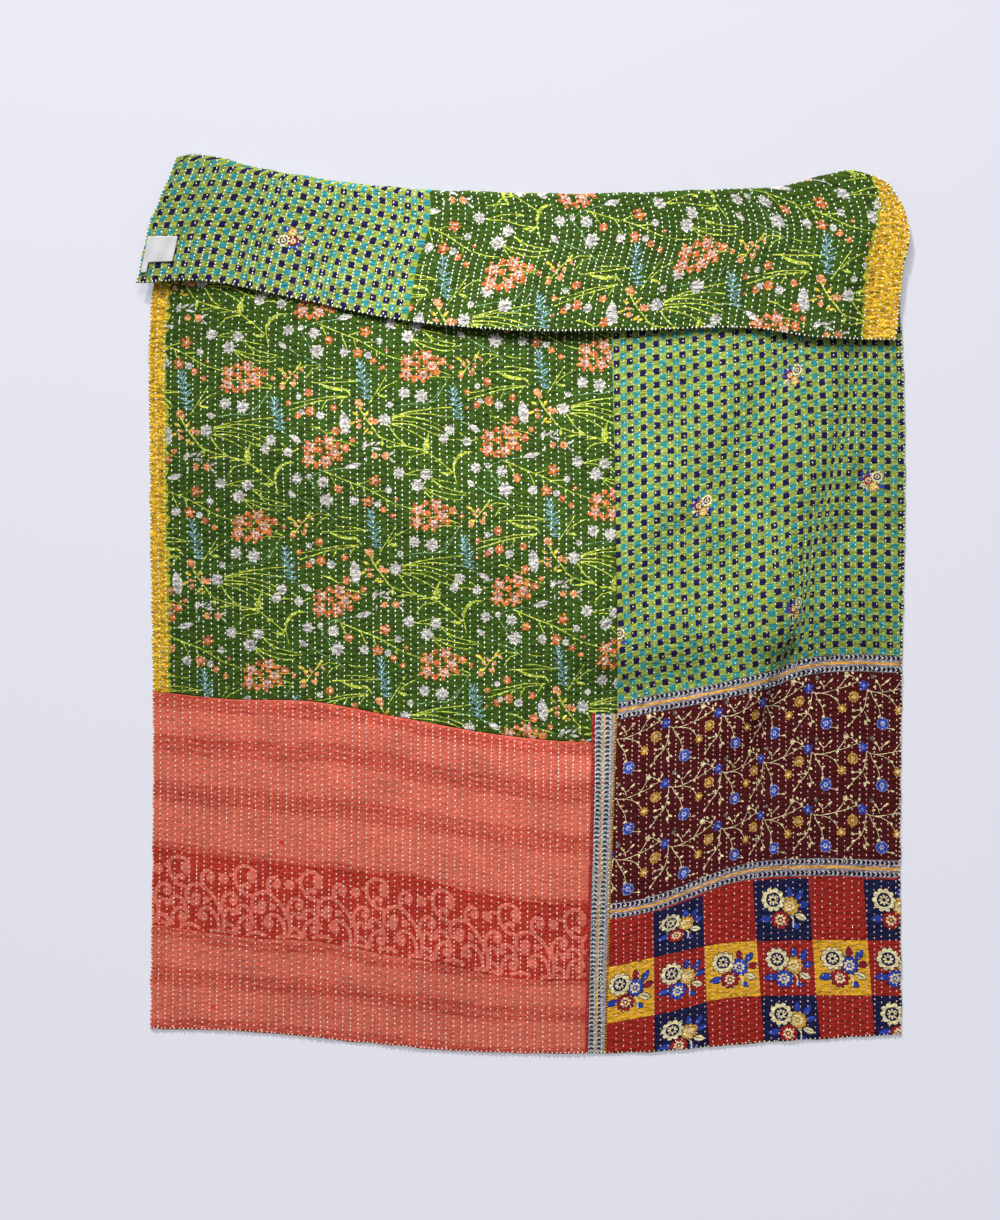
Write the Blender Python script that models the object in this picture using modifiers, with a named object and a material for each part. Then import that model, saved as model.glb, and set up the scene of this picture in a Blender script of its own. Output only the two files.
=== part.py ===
"""A kantha throw: two layers of printed cotton, quilted together in close rows of
running stitch. It lies face up, hem towards -Y, with its top end folded to the front.

Every piece is cut from one surface, the quilt's middle. A point on it is given by its
share of the width, 0 at the left edge and 1 at the right, and by its way along the
quilt: 0 at the hem, 1 at the cross seam, 2 where the fold begins, 3 where it ends and
4 at the folded end's edge. The front layer is on the surface's upper side and so
inside the fold, and the back layer is under it and so shows on the flap.
"""

import math
from collections import namedtuple

import bmesh
import bpy
import numpy as np

# Sizes, in metres
WIDTH = 1.27
LAYER = 0.00185  # one cloth with its share of the stitching
GAP = 0.0003  # between the layers, and between neighbours in a layer
FOLD_OPENING = 0.008  # the clear space inside the fold
RIB_DEPTH = 0.0007  # how far a row of stitches draws the face in
ROW_PITCH = 0.0125  # between two rows of stitches
LABEL_THICKNESS = 0.001
LABEL_CLEARANCE = 0.0005

QUILT = 2 * LAYER + GAP
MIDDLE_RADIUS = (FOLD_OPENING + QUILT) / 2
OUTER_RADIUS = MIDDLE_RADIUS + QUILT / 2

# Levels along the quilt, and the rows of the mesh between them
HEM, SEAM, FOLD_START, FOLD_END, FLAP_EDGE = 0, 1, 2, 3, 4
ROWS_HEM_TO_SEAM, ROWS_SEAM_TO_FOLD, ROWS_IN_FOLD, ROWS_IN_FLAP = 6, 10, 4, 4
SEAM_SHIFT = 0.0003  # takes the two sides of the cross seam off its line
HIDDEN_FROM = 1.8  # the front is out of sight under the flap from here

# Each outline: share of the width, and height up the quilt from the hem's lowest point
HEM_LINE = (
    (0.00, 0.042), (0.13, 0.037), (0.27, 0.020), (0.40, 0.005), (0.53, 0.000),
    (0.67, 0.003), (0.80, 0.017), (1.00, 0.032),
)
SEAM_LINE = (
    (0.00, 0.612), (0.10, 0.599), (0.21, 0.595), (0.33, 0.568), (0.46, 0.539),
    (0.585, 0.526), (0.59, 0.526), (0.62, 0.575), (0.73, 0.605), (0.80, 0.624),
    (0.86, 0.651), (0.90, 0.659), (1.00, 0.658),
)
FOLD_LINE = (
    (0.00, 1.520), (0.03, 1.517), (0.07, 1.504), (0.17, 1.482), (0.29, 1.464),
    (0.43, 1.456), (0.60, 1.453), (0.74, 1.459), (0.88, 1.469), (0.93, 1.485),
    (0.97, 1.491), (1.00, 1.475),
)
FLAP_LINE = (
    (0.00, 1.300), (0.08, 1.305), (0.21, 1.275), (0.35, 1.238), (0.48, 1.221),
    (0.66, 1.221), (0.82, 1.223), (0.89, 1.209), (1.00, 1.204),
)
STRIP_TOP = 0.575

# Each side: way along the quilt, and distance to the right of its middle line
LEFT_SIDE = (
    (0.00, -0.637), (1.00, -0.633), (1.40, -0.638), (1.77, -0.632), (2.00, -0.593),
    (3.00, -0.593), (3.34, -0.621), (3.54, -0.638), (3.73, -0.647), (4.00, -0.659),
)
RIGHT_SIDE = (
    (0.00, 0.632), (0.50, 0.630), (1.00, 0.633), (1.39, 0.638), (1.68, 0.633),
    (2.00, 0.610), (3.00, 0.610), (3.14, 0.633), (3.26, 0.643), (3.56, 0.633),
    (4.00, 0.621),
)

# The lengthwise edges and seams: way along the quilt, and share of the width
LEFT_EDGE = ((0.0, 0.0), (4.0, 0.0))
BACK_SEAM = ((0.0, 0.356), (4.0, 0.356))
STRIP_LEFT = ((0.0, 0.5787), (0.8, 0.5853), (4.0, 0.5853))
STRIP_RIGHT = ((0.0, 0.6067), (1.0, 0.6200), (2.0, 0.6120), (4.0, 0.6120))
RIGHT_EDGE = ((0.0, 1.0), (4.0, 1.0))
LINES = (LEFT_EDGE, BACK_SEAM, STRIP_LEFT, STRIP_RIGHT, RIGHT_EDGE)
CELLS_BETWEEN = (12, 8, 1, 13)

# How far the flap's edge stands off the front: share of the width, and clear height
FLAP_STAND = (
    (0.00, 0.012), (0.07, 0.008), (0.18, 0.003), (0.30, 0.003), (0.42, 0.010),
    (0.60, 0.011), (0.74, 0.005), (0.90, 0.009), (1.00, 0.006),
)

# Soft folds that lift the quilt off what it lies on. Each runs from its start to its
# end, is its height in the middle, and falls away over its left and right widths
Ridge = namedtuple("Ridge", "start end height left_width right_width")
RIDGES = (
    Ridge((0.550, 1.330), (0.385, 0.640), 0.012, 0.110, 0.052),
    Ridge((0.400, 1.200), (0.190, 0.860), 0.005, 0.080, 0.060),
    Ridge((-0.100, 1.160), (-0.260, 1.060), 0.006, 0.160, 0.140),
    Ridge((-0.350, 0.500), (-0.180, 0.180), 0.004, 0.090, 0.110),
)
RIDGE_TAPER = 0.22  # the length over which each end of a ridge dies away

# The label's corners: share of the width, and way along the quilt
LABEL_LEFT, LABEL_RIGHT, TAIL_RIGHT = 0.003, 0.042, 0.011
LABEL_TOP, LABEL_BOTTOM, TAIL_BOTTOM = 3.63, 3.84, 3.92

Finish = namedtuple("Finish", "colour roughness")
GREEN = Finish((0.05, 0.13, 0.02), 0.9)
CHECK = Finish((0.20, 0.38, 0.18), 0.9)
CORAL = Finish((0.60, 0.10, 0.07), 0.9)
MAROON = Finish((0.10, 0.01, 0.01), 0.9)
WHITE = Finish((0.85, 0.84, 0.80), 0.8)


def along(table, where):
    """A smooth curve through a table's points, read where it is asked for."""
    keys, values = np.array(table).T
    slopes = np.gradient(values, keys)
    cell = np.clip(np.searchsorted(keys, where, "right") - 1, 0, len(keys) - 2)
    length = keys[cell + 1] - keys[cell]
    t = np.clip((where - keys[cell]) / length, 0, 1)
    return (
        values[cell] * (1 + 2 * t) * (1 - t) ** 2
        + values[cell + 1] * t * t * (3 - 2 * t)
        + length * t * (1 - t) * (slopes[cell] * (1 - t) - slopes[cell + 1] * t)
    )


def straight(table, where):
    """The straight runs between a table's points, read where they are asked for."""
    keys, values = np.array(table).T
    return np.interp(where, keys, values)


def bump(distance, width):
    """1 in the middle and 0 from a width away, with no corner."""
    return (1 + np.cos(np.pi * np.clip(np.abs(distance) / width, 0, 1))) / 2


def lift(x, y):
    """How far the soft folds raise the quilt at a place on the ground."""
    height = np.zeros(np.broadcast(x, y).shape)
    for ridge in RIDGES:
        start, end = np.array(ridge.start), np.array(ridge.end)
        length = math.dist(ridge.start, ridge.end)
        run = (end - start) / length
        forward = (x - start[0]) * run[0] + (y - start[1]) * run[1]
        sideways = (x - start[0]) * -run[1] + (y - start[1]) * run[0]
        width = np.where(sideways > 0, ridge.right_width, ridge.left_width)
        past_end = np.maximum(np.maximum(-forward, forward - length), 0)
        height += ridge.height * bump(sideways, width) * bump(past_end, RIDGE_TAPER)
    return height


def height_up_quilt(share, way):
    """Y of the middle surface, before it turns in the fold."""
    fold = along(FOLD_LINE, share) - OUTER_RADIUS
    hem, seam = along(HEM_LINE, share), along(SEAM_LINE, share)
    strip_left, strip_right = straight(STRIP_LEFT, way), straight(STRIP_RIGHT, way)
    over_strip = (share > strip_left) & (share < strip_right)
    at_seam = np.abs(way - SEAM) < 2 * SEAM_SHIFT
    seam = np.where(over_strip & at_seam, STRIP_TOP, seam)
    lower = hem + (seam - hem) * way
    upper = seam + (fold - seam) * (way - SEAM)
    flap = fold + (along(FLAP_LINE, share) - fold) * (way - FOLD_END)
    return np.select(
        [way <= SEAM, way <= FOLD_START, way <= FOLD_END], [lower, upper, fold], flap
    )


def middle(share, way):
    """A point of the quilt's middle surface, as an array of x, y and z."""
    left, right = along(LEFT_SIDE, way), along(RIGHT_SIDE, way)
    x = left + (right - left) * share
    y = height_up_quilt(share, way)
    turn = np.pi * np.clip(way - FOLD_START, 0, 1)
    to_edge = np.clip(way - FOLD_END, 0, 1)
    stand = along(FLAP_STAND, share) - FOLD_OPENING
    rise = MIDDLE_RADIUS * (1 - np.cos(turn)) + stand * to_edge**2 * (3 - 2 * to_edge)
    z = QUILT / 2 + lift(x, y) + rise
    return np.stack([x, y + MIDDLE_RADIUS * np.sin(turn), z], axis=-1)


def offset(share, way, distance):
    """A point that far off the middle surface, upwards on the body."""
    step = 1e-4
    across = middle(share + step, way) - middle(share - step, way)
    onward = middle(share, way + step) - middle(share, way - step)
    normal = np.cross(across, onward)
    normal /= np.linalg.norm(normal, axis=-1, keepdims=True)
    return middle(share, way) + normal * np.asarray(distance)[..., None]


# A lengthwise line of the mesh: how far it is from one of LINES to the next, and its
# shift to one side of a seam, both as shares
Column = namedtuple("Column", "line part shift")


def columns_between(first, last):
    """The mesh's lengthwise lines from one of LINES to another. They come in pairs, a gap
    apart, at the seams of the front, so that two neighbours' edges can't meet."""
    half_gap = GAP / 2 / WIDTH
    columns = []
    for line in range(first, last):
        cells = CELLS_BETWEEN[line]
        columns += [Column(line, i / cells, 0) for i in range(cells + 1)]
        after_seam = line > 0 and (line == first or line == 2)
        before_seam = line + 1 < len(LINES) - 1 and (line + 1 == last or line + 1 == 2)
        if after_seam:
            columns[-cells - 1] = Column(line, 0, half_gap)
        if before_seam:
            columns[-1] = Column(line, 1, -half_gap)
        if line > first and not after_seam:
            del columns[-cells - 1]
    return columns


def share_of(column, way):
    """A lengthwise line's share of the width at that way along the quilt."""
    from_line = straight(LINES[column.line], way)
    to_line = straight(LINES[column.line + 1], way)
    return from_line + (to_line - from_line) * column.part + column.shift


def cells_of_row(columns, way, outside, inside, ribbed):
    """The points of one row of a face, a list for each cell: its two corners and, where
    the face is ribbed, the crests and valleys between them."""
    shares = np.array([share_of(column, way) for column in columns])
    ways = np.full(len(shares), way)
    crests = offset(shares, ways, np.full(len(shares), outside))
    toward = math.copysign(RIB_DEPTH, inside - outside)
    valleys = offset(shares, ways, np.full(len(shares), outside + toward))
    cells = []
    for i in range(len(columns) - 1):
        ribs = round((shares[i + 1] - shares[i]) * WIDTH / ROW_PITCH) if ribbed else 0
        if not ribbed:
            cells.append([crests[i], crests[i + 1]])
            continue
        points = [valleys[i]]
        for step in range(1, 2 * ribs):
            line = crests if step % 2 else valleys
            part = step / (2 * ribs)
            points.append(line[i] + (line[i + 1] - line[i]) * part)
        cells.append(points + [valleys[i + 1]])
    return cells


def spread(points, count):
    """The points of a row, some of them repeated to make that many."""
    return [points[round(i * (len(points) - 1) / (count - 1))] for i in range(count)]


def facets(below, above):
    """The triangles between two rows of one cell, halved the same way in both layers so
    that the layers can't touch. Where one row has no ribs, its corners are shared out."""
    count = max(len(below), len(above))
    lower, upper = spread(below, count), spread(above, count)
    triangles = []
    for i in range(count - 1):
        triangles.append((lower[i], lower[i + 1], upper[i + 1]))
        triangles.append((lower[i], upper[i + 1], upper[i]))
    return [corners for corners in triangles if len(set(corners)) == 3]


def cloth(name, columns, ways, outside, inside, ribbed_ways, finish):
    """One cloth as a closed solid: a ribbed face, a plain one and walls between them.
    outside and inside are the distances of its two faces from the middle surface."""
    bm = bmesh.new()
    rows = {"outside": [], "inside": []}
    for way in ways:
        ribbed = ribbed_ways[0] <= way <= ribbed_ways[1]
        faces = (("outside", outside, inside, ribbed), ("inside", inside, outside, False))
        for face, level, other, has_ribs in faces:
            cells, row = cells_of_row(columns, way, level, other, has_ribs), []
            for points in cells:
                start = row[-1][-1] if row else bm.verts.new(points[0])
                row.append([start] + [bm.verts.new(point) for point in points[1:]])
            rows[face].append(row)
    for face in rows.values():
        for below, above in zip(face, face[1:]):
            for lower, upper in zip(below, above):
                for corners in facets(lower, upper):
                    bm.faces.new(corners)
    for end in (0, -1):
        for rim, lining in zip(rows["outside"][end], rows["inside"][end]):
            bm.faces.new(rim + lining[::-1])
        sides = [[row[end][end] for row in face] for face in rows.values()]
        for corners in facets(*sides):
            bm.faces.new(corners)
    bmesh.ops.recalc_face_normals(bm, faces=bm.faces)
    if bm.calc_volume(signed=True) < 0:
        bmesh.ops.reverse_faces(bm, faces=bm.faces)
    return to_object(name, bm, finish)


def label():
    """The sewn label: a small cloth with a narrow tail, flat on the flap's corner."""
    bm = bmesh.new()
    off = -(QUILT / 2 + LABEL_CLEARANCE + LABEL_THICKNESS / 2)
    shares = (LABEL_LEFT, TAIL_RIGHT, (TAIL_RIGHT + LABEL_RIGHT) / 2, LABEL_RIGHT)
    ways = (TAIL_BOTTOM, LABEL_BOTTOM, (LABEL_TOP + LABEL_BOTTOM) / 2, LABEL_TOP)
    grid = [[bm.verts.new(offset(share, way, off)) for share in shares] for way in ways]
    for row in range(len(ways) - 1):
        for column in range(1 if row == 0 else len(shares) - 1):
            below, above = grid[row], grid[row + 1]
            bm.faces.new(
                (below[column], below[column + 1], above[column + 1], above[column])
            )
    bmesh.ops.delete(
        bm, geom=[vert for vert in bm.verts if not vert.link_faces], context="VERTS"
    )
    piece = to_object("label", bm, WHITE)
    solid = piece.modifiers.new("thickness", "SOLIDIFY")
    solid.thickness, solid.offset = LABEL_THICKNESS, 0
    return piece


def to_object(name, bm, finish):
    """A mesh made into an object with its own material."""
    mesh = bpy.data.meshes.new(name)
    bm.to_mesh(mesh)
    bm.free()
    material = bpy.data.materials.new(name)
    material.use_nodes = True
    surface = material.node_tree.nodes["Principled BSDF"]
    surface.inputs["Base Color"].default_value = (*finish.colour, 1)
    surface.inputs["Roughness"].default_value = finish.roughness
    surface.inputs["Metallic"].default_value = 0
    mesh.materials.append(material)
    return bpy.data.objects.new(name, mesh)


def build():
    """All the quilt's pieces, centred on the ground under them."""
    below_seam = np.linspace(HEM, SEAM - SEAM_SHIFT, ROWS_HEM_TO_SEAM + 1)
    above_seam = np.linspace(SEAM, FOLD_START, ROWS_SEAM_TO_FOLD + 1)
    in_fold = np.linspace(FOLD_START, FOLD_END, ROWS_IN_FOLD + 1)
    in_flap = np.linspace(FOLD_END, FLAP_EDGE, ROWS_IN_FLAP + 1)
    upper = np.concatenate([above_seam, in_fold[1:], in_flap[1:]])
    whole = np.concatenate([np.linspace(HEM, SEAM, ROWS_HEM_TO_SEAM + 1), upper[1:]])
    green_ways = np.concatenate([[SEAM + SEAM_SHIFT], upper[1:]])

    front, back = (QUILT / 2, GAP / 2), (-QUILT / 2, -GAP / 2)
    shown, on_flap = (HEM, HIDDEN_FROM), (FOLD_START + 0.01, FLAP_EDGE)
    pieces = [
        cloth("front_green_panel", columns_between(0, 3), green_ways, *front, shown, GREEN),
        cloth("front_coral_panel", columns_between(0, 2), below_seam, *front, shown, CORAL),
        cloth("border_strip", columns_between(2, 3), below_seam, *front, shown, MAROON),
        cloth("front_print_panel", columns_between(3, 4), whole, *front, shown, MAROON),
        cloth("back_check_panel", columns_between(0, 1), whole, *back, on_flap, CHECK),
        cloth("back_green_panel", columns_between(1, 4), whole, *back, on_flap, GREEN),
        label(),
    ]
    corners = np.array([v.co[:] for piece in pieces for v in piece.data.vertices])
    centre = (corners.min(axis=0) + corners.max(axis=0)) / 2
    for piece in pieces:
        piece.location = (-centre[0], -centre[1], 0)
    return pieces


for leftover in list(bpy.data.objects):
    bpy.data.objects.remove(leftover)
quilt = bpy.data.collections.new("kantha_quilt")
bpy.context.scene.collection.children.link(quilt)
for piece in build():
    quilt.objects.link(piece)
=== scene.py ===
"""A folded patchwork quilt with running stitches, laid out flat.

Every cloth is cut in its own flat coordinates, its print laid in as coloured shapes, and
then carried onto the folded quilt: share is the part of the width from the left side,
and way runs 0 hem, 1 seam, 2 to 3 round the fold, 4 edge of the flap.
"""

import math
from collections import namedtuple

import bpy
import numpy as np
from bpy.props import FloatProperty, FloatVectorProperty, PointerProperty
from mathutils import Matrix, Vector
from mathutils.geometry import delaunay_2d_cdt


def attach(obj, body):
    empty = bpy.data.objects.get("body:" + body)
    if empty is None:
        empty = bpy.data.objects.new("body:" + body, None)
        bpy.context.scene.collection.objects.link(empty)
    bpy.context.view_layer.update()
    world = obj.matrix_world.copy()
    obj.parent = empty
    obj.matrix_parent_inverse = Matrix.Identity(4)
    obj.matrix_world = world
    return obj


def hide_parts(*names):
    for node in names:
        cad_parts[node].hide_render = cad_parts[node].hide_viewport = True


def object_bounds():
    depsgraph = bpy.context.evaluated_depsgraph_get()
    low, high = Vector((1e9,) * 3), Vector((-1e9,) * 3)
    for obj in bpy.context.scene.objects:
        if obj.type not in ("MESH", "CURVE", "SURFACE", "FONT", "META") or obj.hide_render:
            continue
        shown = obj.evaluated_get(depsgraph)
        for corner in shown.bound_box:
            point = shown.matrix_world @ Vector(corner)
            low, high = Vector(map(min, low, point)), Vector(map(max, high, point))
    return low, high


bl_info = {
    "name": "Kantha quilt",
    "version": (1, 0, 0),
    "blender": (4, 5, 0),
    "location": "3D View > Sidebar > Quilt",
    "description": "Builds a folded patchwork quilt with running stitches",
    "category": "Add Mesh",
}

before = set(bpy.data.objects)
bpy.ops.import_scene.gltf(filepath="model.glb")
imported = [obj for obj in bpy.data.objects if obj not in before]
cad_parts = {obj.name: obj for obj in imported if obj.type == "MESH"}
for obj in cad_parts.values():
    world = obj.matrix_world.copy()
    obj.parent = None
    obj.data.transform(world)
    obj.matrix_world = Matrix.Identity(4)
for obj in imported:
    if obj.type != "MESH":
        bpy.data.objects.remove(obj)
CAD_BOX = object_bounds()

# The quilt's shape, in metres, as its solids have it
WIDTH = 1.27
LAYER = 0.00185
GAP = 0.0003
FOLD_OPENING = 0.008
ROW_PITCH = 0.0125
LABEL_THICKNESS = 0.001
LABEL_CLEARANCE = 0.0005
QUILT = 2 * LAYER + GAP
MIDDLE_RADIUS = (FOLD_OPENING + QUILT) / 2
OUTER_RADIUS = MIDDLE_RADIUS + QUILT / 2
HEM, SEAM, FOLD_START, FOLD_END, FLAP_EDGE = 0, 1, 2, 3, 4
# How far a cloth keeps from a seam, as a part of the way
SEAM_SHIFT = 0.0003
# From this way on the flap hides the body
HIDDEN_FROM = 1.8
# How high up the quilt the strip ends
STRIP_TOP = 0.575

# Share of the width -> height up the quilt
HEM_LINE = (
    (0.00, 0.042), (0.13, 0.037), (0.27, 0.020), (0.40, 0.005), (0.53, 0.000),
    (0.67, 0.003), (0.80, 0.017), (1.00, 0.032),
)
SEAM_LINE = (
    (0.00, 0.612), (0.10, 0.599), (0.21, 0.595), (0.33, 0.568), (0.46, 0.539),
    (0.585, 0.526), (0.59, 0.526), (0.62, 0.575), (0.73, 0.605), (0.80, 0.624),
    (0.86, 0.651), (0.90, 0.659), (1.00, 0.658),
)
FOLD_LINE = (
    (0.00, 1.520), (0.03, 1.517), (0.07, 1.504), (0.17, 1.482), (0.29, 1.464),
    (0.43, 1.456), (0.60, 1.453), (0.74, 1.459), (0.88, 1.469), (0.93, 1.485),
    (0.97, 1.491), (1.00, 1.475),
)
FLAP_LINE = (
    (0.00, 1.300), (0.08, 1.305), (0.21, 1.275), (0.35, 1.238), (0.48, 1.221),
    (0.66, 1.221), (0.82, 1.223), (0.89, 1.209), (1.00, 1.204),
)
# Way along the quilt -> distance right of the middle line
LEFT_SIDE = (
    (0.00, -0.637), (1.00, -0.633), (1.40, -0.638), (1.77, -0.632), (2.00, -0.593),
    (3.00, -0.593), (3.34, -0.621), (3.54, -0.638), (3.73, -0.647), (4.00, -0.659),
)
RIGHT_SIDE = (
    (0.00, 0.632), (0.50, 0.630), (1.00, 0.633), (1.39, 0.638), (1.68, 0.633),
    (2.00, 0.610), (3.00, 0.610), (3.14, 0.633), (3.26, 0.643), (3.56, 0.633),
    (4.00, 0.621),
)
# Way -> share
LEFT_EDGE = ((0.0, 0.0), (4.0, 0.0))
BACK_SEAM = ((0.0, 0.356), (4.0, 0.356))
STRIP_LEFT = ((0.0, 0.5787), (0.8, 0.5853), (4.0, 0.5853))
STRIP_RIGHT = ((0.0, 0.6067), (1.0, 0.6200), (2.0, 0.6120), (4.0, 0.6120))
RIGHT_EDGE = ((0.0, 1.0), (4.0, 1.0))
# Share -> how far the flap's edge stands off the body
FLAP_STAND = (
    (0.00, 0.012), (0.07, 0.008), (0.18, 0.003), (0.30, 0.003), (0.42, 0.010),
    (0.60, 0.011), (0.74, 0.005), (0.90, 0.009), (1.00, 0.006),
)
Ridge = namedtuple("Ridge", "start end height left_width right_width")
RIDGES = (
    Ridge((0.550, 1.330), (0.385, 0.640), 0.012, 0.110, 0.052),
    Ridge((0.400, 1.200), (0.190, 0.860), 0.005, 0.080, 0.060),
    Ridge((-0.100, 1.160), (-0.260, 1.060), 0.006, 0.160, 0.140),
    Ridge((-0.350, 0.500), (-0.180, 0.180), 0.004, 0.090, 0.110),
)
# How far past its ends a ridge dies away
RIDGE_TAPER = 0.22
# Softer swellings of the front's padding alone, and how near the sides they die away
SWELLING_EDGE = 0.05
SWELLINGS = (
    Ridge((0.560, 1.050), (0.400, 0.640), 0.006, 0.110, 0.040),
    Ridge((0.470, 0.735), (0.150, 0.690), 0.011, 0.140, 0.085),
    Ridge((-0.500, 1.053), (0.055, 0.834), 0.010, 0.170, 0.150),
    Ridge((0.130, 1.020), (0.320, 0.900), 0.004, 0.100, 0.060),
    Ridge((-0.250, 0.560), (0.050, 0.470), 0.004, 0.080, 0.070),
)
# The label's sides as shares, and its ends and its tail's end as ways
LABEL_LEFT, LABEL_RIGHT, TAIL_RIGHT = 0.003, 0.042, 0.011
LABEL_TOP, LABEL_BOTTOM, TAIL_BOTTOM = 3.63, 3.84, 3.92
# From the middle of the hem to the frame's origin
SHIFT = np.array((CAD_BOX[0][0] - LEFT_SIDE[-1][1], CAD_BOX[1][1] - FOLD_LINE[0][1], 0.0))


# ---- the folded quilt ----


def along(table, where):
    """A smooth curve through a table of points."""
    keys, values = np.array(table).T
    slopes = np.gradient(values, keys)
    cell = np.clip(np.searchsorted(keys, where, "right") - 1, 0, len(keys) - 2)
    length = keys[cell + 1] - keys[cell]
    t = np.clip((where - keys[cell]) / length, 0, 1)
    return (
        values[cell] * (1 + 2 * t) * (1 - t) ** 2
        + values[cell + 1] * t * t * (3 - 2 * t)
        + length * t * (1 - t) * (slopes[cell] * (1 - t) - slopes[cell + 1] * t)
    )


def straight(table, where):
    keys, values = np.array(table).T
    return np.interp(where, keys, values)


def bump(distance, width):
    return (1 + np.cos(np.pi * np.clip(np.abs(distance) / width, 0, 1))) / 2


def lift(x, y, ridges=RIDGES):
    """How far the soft folds raise the quilt at a place on the ground."""
    height = np.zeros(np.broadcast(x, y).shape)
    for ridge in ridges:
        start, end = np.array(ridge.start), np.array(ridge.end)
        length = math.dist(ridge.start, ridge.end)
        run = (end - start) / length
        forward = (x - start[0]) * run[0] + (y - start[1]) * run[1]
        sideways = (x - start[0]) * -run[1] + (y - start[1]) * run[0]
        width = np.where(sideways > 0, ridge.right_width, ridge.left_width)
        past_end = np.maximum(np.maximum(-forward, forward - length), 0)
        height += ridge.height * bump(sideways, width) * bump(past_end, RIDGE_TAPER)
    return height


def heights(share):
    """The hem's, the seam's, the fold's and the flap edge's heights up the quilt."""
    fold = along(FOLD_LINE, share) - OUTER_RADIUS
    return along(HEM_LINE, share), along(SEAM_LINE, share), fold, along(FLAP_LINE, share)


def height_up_quilt(share, way):
    """Y of the middle surface, before it turns in the fold."""
    hem, seam, fold, flap = heights(share)
    lower = hem + (seam - hem) * way
    upper = seam + (fold - seam) * (way - SEAM)
    over = fold + (flap - fold) * (way - FOLD_END)
    return np.select([way <= SEAM, way <= FOLD_START, way <= FOLD_END], [lower, upper, fold], over)


def way_on_body(share, height):
    """The way at which the body, below the fold, has that height."""
    hem, seam, fold, _ = heights(share)
    below, above = (height - hem) / (seam - hem), 1 + (height - seam) / (fold - seam)
    return np.where(height < seam, below, np.minimum(above, FOLD_START))


def middle(share, way):
    """A point of the quilt's middle surface."""
    left, right = along(LEFT_SIDE, way), along(RIGHT_SIDE, way)
    x = left + (right - left) * share
    y = height_up_quilt(share, way)
    turn = np.pi * np.clip(way - FOLD_START, 0, 1)
    to_edge = np.clip(way - FOLD_END, 0, 1)
    stand = along(FLAP_STAND, share) - FOLD_OPENING
    rise = MIDDLE_RADIUS * (1 - np.cos(turn)) + stand * to_edge**2 * (3 - 2 * to_edge)
    z = QUILT / 2 + lift(x, y) + rise
    return np.stack([x, y + MIDDLE_RADIUS * np.sin(turn), z], axis=-1)


def offset(share, way, distance):
    """Points that far off the middle surface, upwards on the body, and the normals."""
    step = 1e-4
    across = middle(share + step, way) - middle(share - step, way)
    onward = middle(share, way + step) - middle(share, way - step)
    normal = np.cross(across, onward)
    normal /= np.linalg.norm(normal, axis=-1, keepdims=True)
    across /= np.linalg.norm(across, axis=-1, keepdims=True)
    point = middle(share, way) + normal * np.asarray(distance)[..., None] + SHIFT
    return point, normal, across


# ---- the cloths, flat ----

# Way -> length along the cloth
LENGTHS = ((0, 0.0), (1, 0.585), (2, 1.452), (3, 1.472), (4, 1.720))
WAYS_BY_LENGTH = tuple((length, way) for way, length in LENGTHS)
# Steps between the points of what shows, of what is hidden, and round the fold
ACROSS_STEP, ALONG_STEP, COARSE_STEP, FOLD_STEP = ROW_PITCH / 4, 0.0040, 0.018, 0.002
# What shows is cut in tiles of about this size
TILE = 0.19
# Extra points beside an edge, and how wide its rounding is
EDGE_LINES = (0.0006, 0.0018)
EDGE_ROUNDING = 0.0020
# How much of the thickness is left at the outer edges, and where two cloths meet
EDGE_LEVEL, SEAM_LEVEL = 0.20, 0.80
# The least that the face keeps from the quilt's middle
LEAST_FACE = 0.0010
# Places this close are one, points this close to a corner are left out, and points
# inside keep this far from the outline
SAME, BESIDE_CORNER, INSIDE_MARGIN = 1e-6, 1e-5, 0.0007
# Uneven fields: their seed, how many waves, the shortest and the longest
STITCH_DRIFT = (11, 5, 0.15, 0.6)
ROW_WANDER = (21, 6, 0.08, 0.5)
PUCKERS = (5, 14, 0.0075, 0.016)
LUMPS = (8, 12, 0.05, 0.16)
SIDE_WAVES = (31, 10, 0.012, 0.09)
END_WAVES = (32, 10, 0.012, 0.09)
# The length of cloth that a side of the OFBake map's square holds, and how much smaller the
# hidden lining is in it
BAKED_SIDE, LINING_SCALE = 1.75, 0.02

GREEN_SLOT, CORAL_SLOT, MAROON_SLOT = "green_print_cotton", "coral_cotton", "maroon_print_cotton"
# Side is 1 on the quilt's front and -1 on its back
Panel = namedtuple("Panel", "node left right start end side slot")
PANELS = {
    "green_front": Panel("front_green_panel", LEFT_EDGE, STRIP_RIGHT, SEAM, FLAP_EDGE, 1, GREEN_SLOT),
    "coral_front": Panel("front_coral_panel", LEFT_EDGE, STRIP_LEFT, HEM, SEAM, 1, CORAL_SLOT),
    "strip": Panel("border_strip", STRIP_LEFT, STRIP_RIGHT, HEM, SEAM, 1, "border_cotton"),
    "printed_front": Panel("front_print_panel", STRIP_RIGHT, RIGHT_EDGE, HEM, FLAP_EDGE, 1, MAROON_SLOT),
    "check_back": Panel("back_check_panel", LEFT_EDGE, BACK_SEAM, HEM, FLAP_EDGE, -1, "check_cotton"),
    "green_back": Panel("back_green_panel", BACK_SEAM, RIGHT_EDGE, HEM, FLAP_EDGE, -1, GREEN_SLOT),
}


def length_at(way):
    return straight(LENGTHS, way)


def way_at(length):
    return straight(WAYS_BY_LENGTH, length)


def strip_top_way(share):
    _, seam, fold, _ = heights(share)
    return 1 + (STRIP_TOP - seam) / (fold - seam)


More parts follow.
